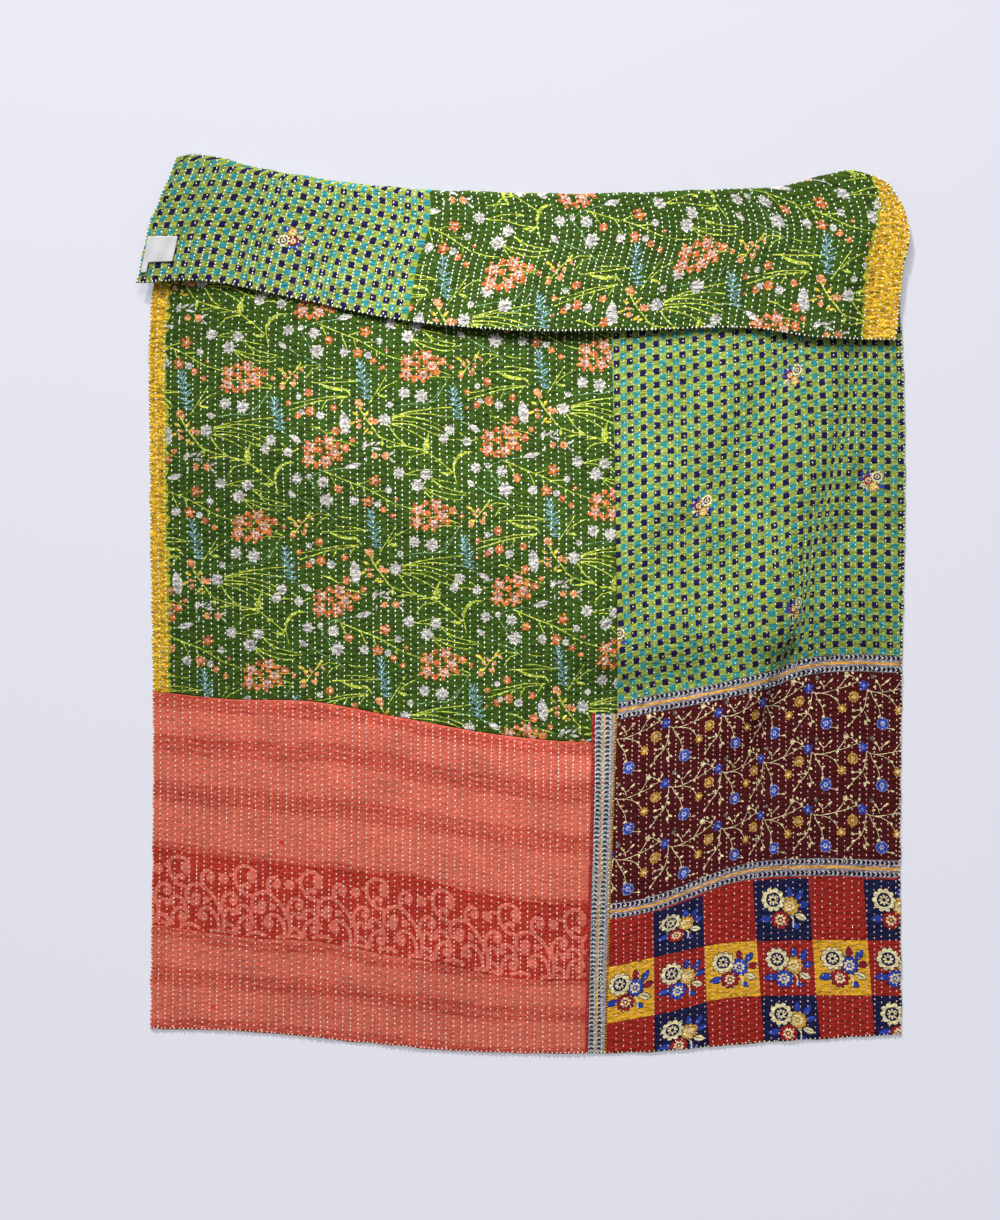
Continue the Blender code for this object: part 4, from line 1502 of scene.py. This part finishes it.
def green_back(cut):
    shapes = Shapes(cut, place_on_flap, flap_place)
    green_field(shapes, FLAP_START, (0.44, 0.0), (1.27, 0.25), FLAP_TURN, FLAP_TURN, FLAP_SCALE)
    edge = ragged(0.0, 0.30, 4, 0.009)
    inner = [(WIDTH * np.interp(y, *SELVAGE_SIDE) + x, y - 0.005) for x, y in edge]
    for shift, colour in ((0.0, SELVAGE_EDGE), (0.0045, SELVAGE)):
        outline = [(1.35, -0.01), (1.35, 0.31)] + [(x + shift, y) for x, y in inner[::-1]]
        shapes.add(outline, colour)
    return shapes.finish()


# How the print draws together at the flap's rolled side: in the print -> on the cloth
CORNER_GATHERED = (
    (-0.062, -0.0200), (-0.012, 0.0), (-0.0065, 0.0026), (0.0, 0.0066), (0.010, 0.0140),
    (0.020, 0.0224), (0.035, 0.0361), (0.060, 0.0603), (0.600, 0.6000),
)
# Share, level, and turn of the bouquet on the flap's check
FLAP_BOUQUET = (0.185, 0.095, math.radians(165))


def check_back(cut):
    shapes = Shapes(cut, place_on_flap, flap_place)
    shapes.gathered = CORNER_GATHERED
    check(shapes, -0.045, 0.47, -0.02, 0.27)
    shapes.gathered = None
    share, level, turn = FLAP_BOUQUET
    bouquet(shapes, share * WIDTH, level, SMALL_BOUQUET, ON_CHECK, turn, mirrored=True)
    return shapes.finish()


PRINTS = {
    "green_front": green_front, "coral_front": coral_front, "strip": border_strip,
    "printed_front": printed_front, "check_back": check_back, "green_back": green_back,
}


# ---- finishes ----


class Net:
    """A node tree that is written as a list of nodes."""

    def __init__(self, tree):
        self.tree = tree

    def fill(self, node, sockets):
        """Links or sets each of a node's sockets."""
        for key, value in sockets.items():
            if isinstance(value, bpy.types.NodeSocket):
                self.tree.links.new(value, node.inputs[key])
            else:
                node.inputs[key].default_value = value

    def add(self, kind, sockets=None, **values):
        node = self.tree.nodes.new(kind)
        for key, value in values.items():
            setattr(node, key, value)
        self.fill(node, sockets or {})
        return node

    def math(self, operation, first, second=0.0, third=0.0, clamp=False):
        values = {0: first, 1: second, 2: third}
        return self.add("ShaderNodeMath", values, operation=operation, use_clamp=clamp).outputs[0]

    def mix(self, part, first, second):
        # Sockets of the colour mix: 0 factor, 6 and 7 colours, and 2 the result
        values = {0: part, 6: first, 7: second}
        return self.add("ShaderNodeMix", values, data_type="RGBA").outputs[2]

    def noise(self, place, scale, detail=3.0, stretch=None):
        if stretch:
            place = self.add("ShaderNodeMapping", {"Vector": place, "Scale": stretch}).outputs[0]
        values = {"Vector": place, "Scale": scale, "Detail": detail}
        return self.add("ShaderNodeTexNoise", values).outputs["Fac"]


def new_material(name):
    material = bpy.data.materials.new(name)
    material.use_nodes = True
    return material, Net(material.node_tree), material.node_tree.nodes["Principled BSDF"]


def opaque(colour):
    return (*linear(colour), 1.0)


def node_group(name, inputs, outputs):
    """A new shader group with named sockets, or the one that was made before."""
    if name in bpy.data.node_groups:
        return bpy.data.node_groups[name], None
    tree = bpy.data.node_groups.new(name, "ShaderNodeTree")
    for key, kind, value in inputs:
        socket = tree.interface.new_socket(key, in_out="INPUT", socket_type=kind)
        socket.default_value = value
    for key, kind in outputs:
        tree.interface.new_socket(key, in_out="OUTPUT", socket_type=kind)
    return tree, Net(tree)


def drawn_up(net):
    """The small puckers between the stitches: their heights give the bump, and the painted shade in
    their hollows.
    """
    laid = net.add("ShaderNodeUVMap", uv_map="OFBake").outputs[0]
    return net.noise(laid, BAKED_SIDE, 2.0, (80.0, 190.0, 1.0))


def worn_print():
    """The laid-in print over its ground, rubbed thin and faded unevenly, with painted shade darkening
    the pucker hollows.
    """
    inputs = (
        ("Ground", "NodeSocketColor", (0.5, 0.5, 0.5, 1)), ("Rubbed", "NodeSocketFloat", 0.25),
        ("Fading", "NodeSocketFloat", 0.12), ("Mottling", "NodeSocketFloat", 0.15),
        ("Tinting", "NodeSocketFloat", 0.1), ("Puckering", "NodeSocketFloat", 1.5),
    )
    tree, net = node_group("worn print", inputs, (("Color", "NodeSocketColor"),))
    if net is None:
        return tree
    given = net.add("NodeGroupInput").outputs
    place = net.add("ShaderNodeUVMap", uv_map="cloth").outputs[0]
    print_colour = net.add("ShaderNodeAttribute", attribute_name="print").outputs
    fine = net.noise(place, 300.0, 2.0)
    broad = net.noise(place, 9.0, 3.0)
    specks = net.noise(place, 210.0, 3.0)
    tints = net.noise(place, 160.0, 2.0)
    rubbed = net.math("MULTIPLY", net.math("SUBTRACT", fine, 0.46, clamp=True), given["Rubbed"])
    rubbed = net.math("MULTIPLY", rubbed, 9.0)
    whole = net.math("SUBTRACT", 1.0, rubbed)
    cover = net.math("MULTIPLY", print_colour["Alpha"], whole, clamp=True)
    colour = net.mix(cover, given["Ground"], print_colour["Color"])
    light = net.math("MULTIPLY_ADD", net.math("SUBTRACT", broad, 0.5), given["Fading"], 1.0)
    shade = net.math("MULTIPLY", net.math("SUBTRACT", specks, 0.5), given["Mottling"])
    value = net.math("ADD", light, net.math("MULTIPLY", shade, 2.4))
    # Painted shade: the colour is darkened where the pucker noise is low, in the puckers' hollows
    drawn = net.math("SUBTRACT", drawn_up(net), 0.5)
    painted_hollow_shade = net.math("MULTIPLY_ADD", drawn, given["Puckering"], 1.0)
    value = net.math("MULTIPLY", value, net.math("MAXIMUM", painted_hollow_shade, 0.3))
    hue = net.math("MULTIPLY_ADD", net.math("SUBTRACT", tints, 0.5), given["Tinting"], 0.5)
    turned = net.add("ShaderNodeHueSaturation", {"Color": colour, "Value": value, "Hue": hue})
    net.add("NodeGroupOutput", {"Color": turned.outputs[0]})
    return tree


def woven_surface():
    """The height of the threads, and of the small puckers that the sewing draws up."""
    inputs = (("Threads", "NodeSocketFloat", 1400.0), ("Puckers", "NodeSocketFloat", 9.0))
    tree, net = node_group("woven surface", inputs, (("Height", "NodeSocketFloat"),))
    if net is None:
        return tree
    given = net.add("NodeGroupInput").outputs
    place = net.add("ShaderNodeUVMap", uv_map="cloth").outputs[0]
    parts = net.add("ShaderNodeSeparateXYZ", {0: place}).outputs
    waves = []
    for part in parts[:2]:
        wave = net.math("SINE", net.math("MULTIPLY", part, given["Threads"]))
        waves.append(net.math("ABSOLUTE", wave))
    threads = net.math("MULTIPLY", waves[0], waves[1])
    height = net.math("MULTIPLY_ADD", drawn_up(net), given["Puckers"], threads)
    net.add("NodeGroupOutput", {"Height": height})
    return tree


# Streaks of deeper dye: level below the seam and half width
STREAKS = (
    (-0.080, 0.022), (-0.165, 0.022), (-0.474, 0.020), (-0.262, 0.010), (-0.405, 0.010),
    (-0.553, 0.012), (-0.012, 0.014),
)
DEEP_DYE = (170, 44, 30)


def dyed_streaks():
    """Where streaks of deeper dye run across the cloth."""
    tree, net = node_group("dyed streaks", (), (("Mask", "NodeSocketFloat"),))
    if net is None:
        return tree
    place = net.add("ShaderNodeUVMap", uv_map="cloth").outputs[0]
    level = net.add("ShaderNodeSeparateXYZ", {0: place}).outputs[1]
    wander = net.math("MULTIPLY", net.math("SUBTRACT", net.noise(place, 6.0, 2.0), 0.5), 0.03)
    level = net.math("ADD", level, wander)
    total = 0.0
    for middle_level, half in STREAKS:
        away = net.math("ABSOLUTE", net.math("SUBTRACT", level, middle_level))
        near = net.math("MULTIPLY_ADD", net.math("DIVIDE", away, half), -2.2, 2.2, clamp=True)
        total = net.math("ADD", near, total)
    threads = net.noise(place, 60.0, 4.0, (0.08, 3.0, 1.0))
    specks = net.noise(place, 260.0, 2.0)
    ragged = net.math("MULTIPLY_ADD", threads, 2.2, net.math("MULTIPLY_ADD", specks, 3.0, -2.0))
    mask = net.math("MULTIPLY", total, ragged, clamp=True)
    net.add("NodeGroupOutput", {"Mask": mask})
    return tree


# Ground colour, how far the print is rubbed, faded, mottled and changed in tint, how dark the
# painted shade in the pucker hollows is, how high the puckers stand, and how strong its streaks are
Finish = namedtuple("Finish", "ground rubbed fading mottling tinting puckering raised streaks")
GREEN_FINISH = Finish((51, 76, 16), 0.40, 0.30, 0.35, 0.10, 2.6, 8.0, 0.0)
FINISHES = {
    "green_front": GREEN_FINISH,
    "coral_front": Finish((208, 102, 81), 0.20, 0.50, 0.55, 0.02, 0.45, 3.0, 0.80),
    "strip": Finish(CHALK, 0.10, 0.15, 0.40, 0.03, 1.0, 8.0, 0.0),
    "printed_front": Finish(LIME, 0.0, 0.20, 0.35, 0.02, 1.25, 8.0, 0.0),
    "check_back": Finish(LIME, 0.0, 0.20, 0.40, 0.04, 1.6, 8.0, 0.0),
    "green_back": GREEN_FINISH,
}


def cloth_material(name, settings):
    finish = FINISHES[name]
    material, net, shader = new_material(name)
    ground = opaque(finish.ground)
    if finish.streaks:
        mask = net.add("ShaderNodeGroup", node_tree=dyed_streaks()).outputs["Mask"]
        ground = net.mix(net.math("MULTIPLY", mask, finish.streaks), ground, opaque(DEEP_DYE))
    values = {
        "Ground": ground, "Rubbed": finish.rubbed, "Mottling": finish.mottling,
        "Fading": finish.fading * settings.wear, "Tinting": finish.tinting,
        "Puckering": finish.puckering,
    }
    colour = net.add("ShaderNodeGroup", values, node_tree=worn_print())
    weave = net.add("ShaderNodeGroup", {"Puckers": finish.raised}, node_tree=woven_surface())
    relief_values = {"Height": weave.outputs[0], "Strength": 0.7, "Distance": 0.0006}
    raised = net.add("ShaderNodeBump", relief_values)
    net.fill(shader, {
        "Base Color": colour.outputs[0], "Normal": raised.outputs[0], "Roughness": 0.88,
        "Specular IOR Level": 0.12, "Sheen Weight": 0.02,
    })
    return material


def thread_material(name, colour):
    material, net, shader = new_material(name)
    place = net.add("ShaderNodeTexCoord").outputs["Object"]
    dull = opaque(np.array(colour) * 0.86)
    shade = net.mix(net.noise(place, 700.0, 2.0), dull, opaque(colour))
    twist_values = {"Height": net.noise(place, 2500.0, 1.0), "Strength": 0.3, "Distance": 0.0003}
    twist = net.add("ShaderNodeBump", twist_values)
    net.fill(shader, {"Base Color": shade, "Normal": twist.outputs[0], "Roughness": 0.7})
    return material


# ---- stitches ----

# Across, along and up, as parts of half a stitch: both ends, the sides, top and foot
GRAIN = np.array((
    (0, -1, -0.3), (0.9, -0.5, 0), (0.9, 0.5, 0), (0, 1, -0.3), (-0.9, 0.5, 0), (-0.9, -0.5, 0),
    (0, 0, 1), (0, 0, -1),
))
GRAIN_FACES = np.array(
    [(i, (i + 1) % 6, 6) for i in range(6)] + [((i + 1) % 6, i, 7) for i in range(6)]
)
# How high a grain is beside its width
GRAIN_DEPTH = 0.65
# How unevenly stitches slip along their row, and how much they and the edge's turn
SLIP, EDGE_SLIP, TURN, EDGE_TURN = 0.0005, 0.0008, 0.10, 0.25
# How far stitches keep from a cloth's sides and from all its edges
SIDE_MARGIN, EDGE_MARGIN = 0.002, 0.0035


def stitch_places(name, settings):
    """Where the running stitches of a visible cloth lie."""
    cut = Cut(PANELS[name])
    first, last = round(cut.left / ROW_PITCH), round((cut.left + cut.width) / ROW_PITCH)
    start, end = cut.ends()
    if cut.panel.side < 0:
        start = length_at(FOLD_START + 0.5)
    else:
        end = min(length_at(HIDDEN_FROM), end)
    rows = np.arange(first, last + 1)
    chance = np.random.default_rng(len(name))
    along_row = np.arange(start - 0.05, end + 0.05, settings.stitch_period)
    row, length = (a.ravel().astype(float) for a in np.meshgrid(rows, along_row, indexing="ij"))
    drift = sines(row * 0.7, length, *STITCH_DRIFT)
    length = length - drift * 1.2 * settings.stitch_period + chance.normal(0, SLIP, len(row))
    wander = sines(row * 0.9, length, *ROW_WANDER) * 0.0011
    across = cut.across((row * ROW_PITCH + wander) / WIDTH, way_at(length))
    keep = (across > SIDE_MARGIN) & (across < cut.width - SIDE_MARGIN)
    keep &= (length > start) & (length < end)
    across, length = across[keep], length[keep]
    keep = cut.edge_distance(across, length) > EDGE_MARGIN
    return cut, across[keep], length[keep]


# The outer edges of each cloth: left, right, and end
OUTER_EDGES = {
    "green_front": (True, False, None), "coral_front": (True, False, "bottom"),
    "strip": (False, False, "bottom"), "printed_front": (False, True, "bottom"),
    "check_back": (True, False, "top"), "green_back": (False, True, "top"),
}
OVERCAST_PITCH, OVERCAST_INSIDE = 0.0075, 0.0012


def overcast_places(name, cut):
    """Where stitches wrap the quilt's outer edges, and how far each is turned."""
    left, right, end = OUTER_EDGES[name]
    low, high = cut.ends()
    if end == "top":
        low = max(low, length_at(FOLD_END))
    else:
        high = min(high, length_at(HIDDEN_FROM) - 0.02)
    up = np.arange(low + 0.004, high - 0.002, OVERCAST_PITCH)
    places = [np.zeros((3, 0))]
    for wanted, across in ((left, OVERCAST_INSIDE), (right, cut.width - OVERCAST_INSIDE)):
        if wanted:
            places.append(np.stack([up * 0 + across, up, up * 0 + math.pi / 2]))
    if end:
        over = np.arange(0.004, cut.width - 0.002, OVERCAST_PITCH)
        bottom, top = cut.bottom(over, False) + OVERCAST_INSIDE, cut.top(over) - OVERCAST_INSIDE
        places.append(np.stack([over, top if end == "top" else bottom, np.zeros(len(over))]))
    return np.concatenate(places, axis=1)


def on_maroon(cut, across, length):
    """Whether places of the printed front lie below its check."""
    share, way = cut.share(across, length), way_at(length)
    return level_at(PRINT_LEVELS, share, height_up_quilt(share, way)) < UPPER_BORDER - 0.015


def build_stitches(name, cloths, colour, size, slot, settings):
    """Short closed grains of thread, half sunk into the cloth."""
    points, count = [], 0
    chance = np.random.default_rng(7)
    for cloth in cloths:
        cut, across, length = stitch_places(cloth, settings)
        if cloth == "printed_front":
            chosen = on_maroon(cut, across, length) == (name == "stitches_maroon")
            across, length = across[chosen], length[chosen]
        turn = chance.normal(0, TURN, len(across))
        if name != "stitches_maroon":
            edge_across, edge_length, edge_turn = overcast_places(cloth, cut)
            slip = chance.normal(0, EDGE_SLIP, len(edge_turn))
            across = np.concatenate([across, edge_across + slip * np.cos(edge_turn)])
            length = np.concatenate([length, edge_length + slip * np.sin(edge_turn)])
            turn = np.concatenate([turn, edge_turn + chance.normal(0, EDGE_TURN, len(edge_turn))])
        share, way = cut.share(across, length), way_at(length)
        side = cut.panel.side
        level = face_distance(cut, across, length, settings)
        centre, normal, sideways = offset(share, way, level * side)
        forward = np.cross(normal, sideways)
        long = settings.stitch_length * size / 2 * chance.uniform(0.75, 1.2, len(turn))
        wide = settings.thread * size / 2 * chance.uniform(0.8, 1.15, len(turn))
        c, s = np.cos(turn)[:, None], np.sin(turn)[:, None]
        ahead, beside = forward * c + sideways * s, sideways * c - forward * s
        shape, long, wide = GRAIN[None], long[:, None, None], wide[:, None, None]
        grain = centre[:, None] + (
            beside[:, None] * shape[..., :1] * wide
            + ahead[:, None] * shape[..., 1:2] * long
            + normal[:, None] * side * shape[..., 2:] * wide * GRAIN_DEPTH
        )
        points.append(grain.reshape(-1, 3))
        count += len(turn)
    triangles = (GRAIN_FACES[None] + np.arange(count)[:, None, None] * len(GRAIN)).reshape(-1, 3)
    mesh = make_mesh(name, np.concatenate(points), triangles)
    return add_object(mesh, thread_material(name, colour), slot)


# ---- label ----


def build_label():
    """The bare sewn label: a small tape with a narrow tail."""
    columns = np.linspace(LABEL_LEFT, LABEL_RIGHT, 27)
    rows = np.linspace(TAIL_BOTTOM, LABEL_TOP, 37)
    shares, ways = (a.ravel() for a in np.meshgrid(columns, rows))
    wave = 0.00035 * np.sin(shares * 260 + ways * 9) + 0.0003 * np.sin(ways * 31 - shares * 90)
    low = QUILT / 2 + LABEL_CLEARANCE
    levels = (low + wave + LABEL_THICKNESS, low + wave)
    points = [offset(shares, ways, -level)[0] for level in levels]
    count, width = len(shares), len(columns)
    faces = []
    for r in range(len(rows) - 1):
        for c in range(width - 1):
            if rows[r] > LABEL_BOTTOM + SAME and columns[c + 1] > TAIL_RIGHT + SAME:
                continue
            a = r * width + c
            faces += [(a, a + 1, a + width + 1), (a, a + width + 1, a + width)]
    edges = {}
    for a, b, c in faces:
        edges |= dict.fromkeys(((a, b), (b, c), (c, a)))
    alone = [(a, b) for a, b in edges if (b, a) not in edges]
    walls = [t for a, b in alone for t in ((b, a, a + count), (b, a + count, b + count))]
    top = np.array(faces)
    triangles = np.concatenate([top, top[:, ::-1] + count, np.array(walls)])
    mesh = make_mesh("sewn_label", np.concatenate(points), triangles)
    return add_object(mesh, thread_material("label_tape", (214, 213, 214)), "white_tape", "label")


# ---- stage ----

VIEW_CENTRE, VIEW_HEIGHT, CAMERA_HEIGHT, SENSOR = (-0.0383, -0.0107), 2.063, 4.5, 24
FLOOR_HALF, FLOOR_BELOW = 60.0, 0.0005
FLOOR_GLOW, FLOOR_GLOW_COLOUR = 0.375, (0.96, 0.96, 1.06, 1)
SKY, SKY_STRENGTH = (0.94, 0.95, 1.0, 1), 0.25
# Size is an angle for the sun and the spots, and metres for the area lamp
Lamp = namedtuple("Lamp", "name kind place target size power")
LIGHTS = (
    Lamp("key", "SUN", (-1.2, 3.2, 1.85), (0, 0, 0), math.radians(5), 3.4),
    Lamp("top", "AREA", (-0.5, 3.1, 2.3), (0, 0, 0), 1.6, 60.0),
    Lamp("upper", "SPOT", (-0.3, 2.6, 2.0), (-0.07, 0.40, 0.0), math.radians(21), 410.0),
    Lamp("flap", "SPOT", (0.9, 2.8, 2.0), (0.50, 0.60, 0.0), math.radians(15), 200.0),
)
SPOT_BLUR = 0.25


def add_floor(scene):
    mesh = bpy.data.meshes.new("floor")
    corners = [(x * FLOOR_HALF, y * FLOOR_HALF, 0) for x, y in ((-1, -1), (1, -1), (1, 1), (-1, 1))]
    mesh.from_pydata(corners, [], [(0, 1, 2, 3)])
    floor = bpy.data.objects.new("floor", mesh)
    floor.location.z = -FLOOR_BELOW
    material, net, shader = new_material("floor")
    place = net.add("ShaderNodeTexCoord").outputs["Object"]
    pale = net.mix(net.noise(place, 0.8), opaque((168, 168, 176)), opaque((172, 172, 180)))
    net.fill(shader, {
        "Base Color": pale, "Emission Color": FLOOR_GLOW_COLOUR, "Emission Strength": FLOOR_GLOW,
        "Roughness": 0.9,
    })
    mesh.materials.append(material)
    scene.collection.objects.link(floor)
    return floor


def add_lights(scene, floor):
    """The lamps, whose spots leave the floor out, and the soft light around."""
    unlit = bpy.data.collections.new("out of the spots")
    unlit.objects.link(floor)
    unlit.collection_objects[0].light_linking.link_state = "EXCLUDE"
    for lamp in LIGHTS:
        light = bpy.data.lights.new(lamp.name, lamp.kind)
        light.energy = lamp.power
        shown = bpy.data.objects.new(lamp.name, light)
        if lamp.kind == "SUN":
            light.angle = lamp.size
        elif lamp.kind == "SPOT":
            light.spot_size, light.spot_blend, light.shadow_soft_size = lamp.size, 1.0, SPOT_BLUR
            shown.light_linking.receiver_collection = unlit
        else:
            light.shape, light.size = "DISK", lamp.size
        shown.location = lamp.place
        aim = Vector(lamp.target) - Vector(lamp.place)
        shown.rotation_euler = aim.to_track_quat("-Z", "Y").to_euler()
        scene.collection.objects.link(shown)
    world = bpy.data.worlds.new("soft light")
    world.use_nodes = True
    Net(world.node_tree).fill(world.node_tree.nodes["Background"], {0: SKY, 1: SKY_STRENGTH})
    scene.world = world


def add_camera(scene):
    """The camera, straight above."""
    lens = bpy.data.cameras.new("camera")
    lens.sensor_fit, lens.sensor_height = "VERTICAL", SENSOR
    lens.lens = SENSOR * CAMERA_HEIGHT / VIEW_HEIGHT
    camera = bpy.data.objects.new("camera", lens)
    camera.location = (*VIEW_CENTRE, CAMERA_HEIGHT)
    scene.collection.objects.link(camera)
    scene.camera = camera
    scene.view_settings.view_transform = "Standard"


# ---- add-on ----


class QuiltSettings(bpy.types.PropertyGroup):
    """The sizes and colours of the quilt that can be changed."""

    row_depth: FloatProperty(
        name="Row depth", description="How far each row of stitches pulls the cloth in",
        default=0.0009, min=0.0, max=0.0015, precision=4, unit="LENGTH",
    )
    pucker: FloatProperty(
        name="Pucker", description="Height of the small ripples between the rows",
        default=0.00045, min=0.0, max=0.001, precision=5, unit="LENGTH",
    )
    unevenness: FloatProperty(
        name="Unevenness", description="Height of the broad unevenness of the layers",
        default=0.0011, min=0.0, max=0.002, precision=5, unit="LENGTH",
    )
    stitch_period: FloatProperty(
        name="Stitch spacing", description="From the start of one stitch to the next",
        default=0.0088, min=0.005, max=0.02, precision=4, unit="LENGTH",
    )
    stitch_length: FloatProperty(
        name="Stitch length", description="Length of a stitch on the surface",
        default=0.0058, min=0.001, max=0.01, precision=4, unit="LENGTH",
    )
    thread: FloatProperty(
        name="Thread width", description="Width of a stitch on the surface",
        default=0.0028, min=0.0005, max=0.004, precision=4, unit="LENGTH",
    )
    wear: FloatProperty(
        name="Wear", description="How unevenly the prints have faded",
        default=1.0, min=0.0, max=3.0,
    )
    pale_thread: FloatVectorProperty(
        name="Pale thread", description="Colour of the stitches on the green cloths",
        default=(1.0, 1.0, 0.97), subtype="COLOR", min=0.0, max=1.0,
    )
    soft_thread: FloatVectorProperty(
        name="Soft thread", description="Colour of the stitches on the printed check",
        default=(0.94, 0.97, 0.80), subtype="COLOR", min=0.0, max=1.0,
    )
    pink_thread: FloatVectorProperty(
        name="Pink thread", description="Colour of the stitches on the coral and maroon cloths",
        default=(1.0, 0.80, 0.75), subtype="COLOR", min=0.0, max=1.0,
    )


def thread_colour(value):
    """A colour setting as red, green and blue of 255."""
    return tuple(round(part * 255) for part in value)


def lay_cloth(name, settings):
    piece, size = build_cloth(name, settings)


class QUILT_OT_front(bpy.types.Operator):
    """Sews the four cloths of the quilt's front"""

    bl_idname = "quilt.front"
    bl_label = "Front cloths"

    def execute(self, context):
        for name in ("green_front", "coral_front", "strip", "printed_front"):
            lay_cloth(name, context.scene.quilt_settings)
        return {"FINISHED"}


class QUILT_OT_back(bpy.types.Operator):
    """Sews the two cloths of the quilt's back, which show on the flap"""

    bl_idname = "quilt.back"
    bl_label = "Back cloths"

    def execute(self, context):
        for name in ("check_back", "green_back"):
            lay_cloth(name, context.scene.quilt_settings)
        return {"FINISHED"}


# Piece, the cloths it lies on, its colour setting, its size and its slot
STITCHING = (
    ("stitches_green", ("green_front", "green_back", "check_back"), "pale_thread", 0.93, GREEN_SLOT),
    ("stitches_coral", ("coral_front",), "pink_thread", 1.05, CORAL_SLOT),
    ("stitches_check", ("printed_front", "strip"), "soft_thread", 0.82, MAROON_SLOT),
    ("stitches_maroon", ("printed_front",), "pink_thread", 0.85, MAROON_SLOT),
)


class QUILT_OT_stitches(bpy.types.Operator):
    """Adds the rows of running stitches"""

    bl_idname = "quilt.stitches"
    bl_label = "Running stitches"

    def execute(self, context):
        settings = context.scene.quilt_settings
        for name, cloths, setting, size, slot in STITCHING:
            colour = thread_colour(getattr(settings, setting))
            build_stitches(name, cloths, colour, size, slot, settings)
        return {"FINISHED"}


class QUILT_OT_label(bpy.types.Operator):
    """Adds the bare label on the flap"""

    bl_idname = "quilt.label"
    bl_label = "Label"

    def execute(self, context):
        build_label()
        return {"FINISHED"}


class QUILT_OT_stage(bpy.types.Operator):
    """Adds the floor, the lights and the camera"""

    bl_idname = "quilt.stage"
    bl_label = "Floor, lights and camera"

    def execute(self, context):
        scene = context.scene
        add_lights(scene, add_floor(scene))
        add_camera(scene)
        return {"FINISHED"}


class QUILT_PT_panel(bpy.types.Panel):
    """The quilt's settings and steps"""

    bl_label = "Kantha quilt"
    bl_idname = "QUILT_PT_panel"
    bl_space_type = "VIEW_3D"
    bl_region_type = "UI"
    bl_category = "Quilt"

    def draw(self, context):
        for key in QuiltSettings.__annotations__:
            self.layout.prop(context.scene.quilt_settings, key)
        for operator in OPERATORS:
            self.layout.operator(operator.bl_idname)


OPERATORS = (QUILT_OT_front, QUILT_OT_back, QUILT_OT_label, QUILT_OT_stitches, QUILT_OT_stage)
CLASSES = (QuiltSettings, *OPERATORS, QUILT_PT_panel)


def register():
    for item in CLASSES:
        bpy.utils.register_class(item)
    bpy.types.Scene.quilt_settings = PointerProperty(type=QuiltSettings)


def unregister():
    del bpy.types.Scene.quilt_settings
    for item in reversed(CLASSES):
        bpy.utils.unregister_class(item)


def main():
    register()
    bpy.ops.quilt.front()
    bpy.ops.quilt.back()
    bpy.ops.quilt.label()
    bpy.ops.quilt.stitches()
    bpy.ops.quilt.stage()


if __name__ == "__main__":
    main()
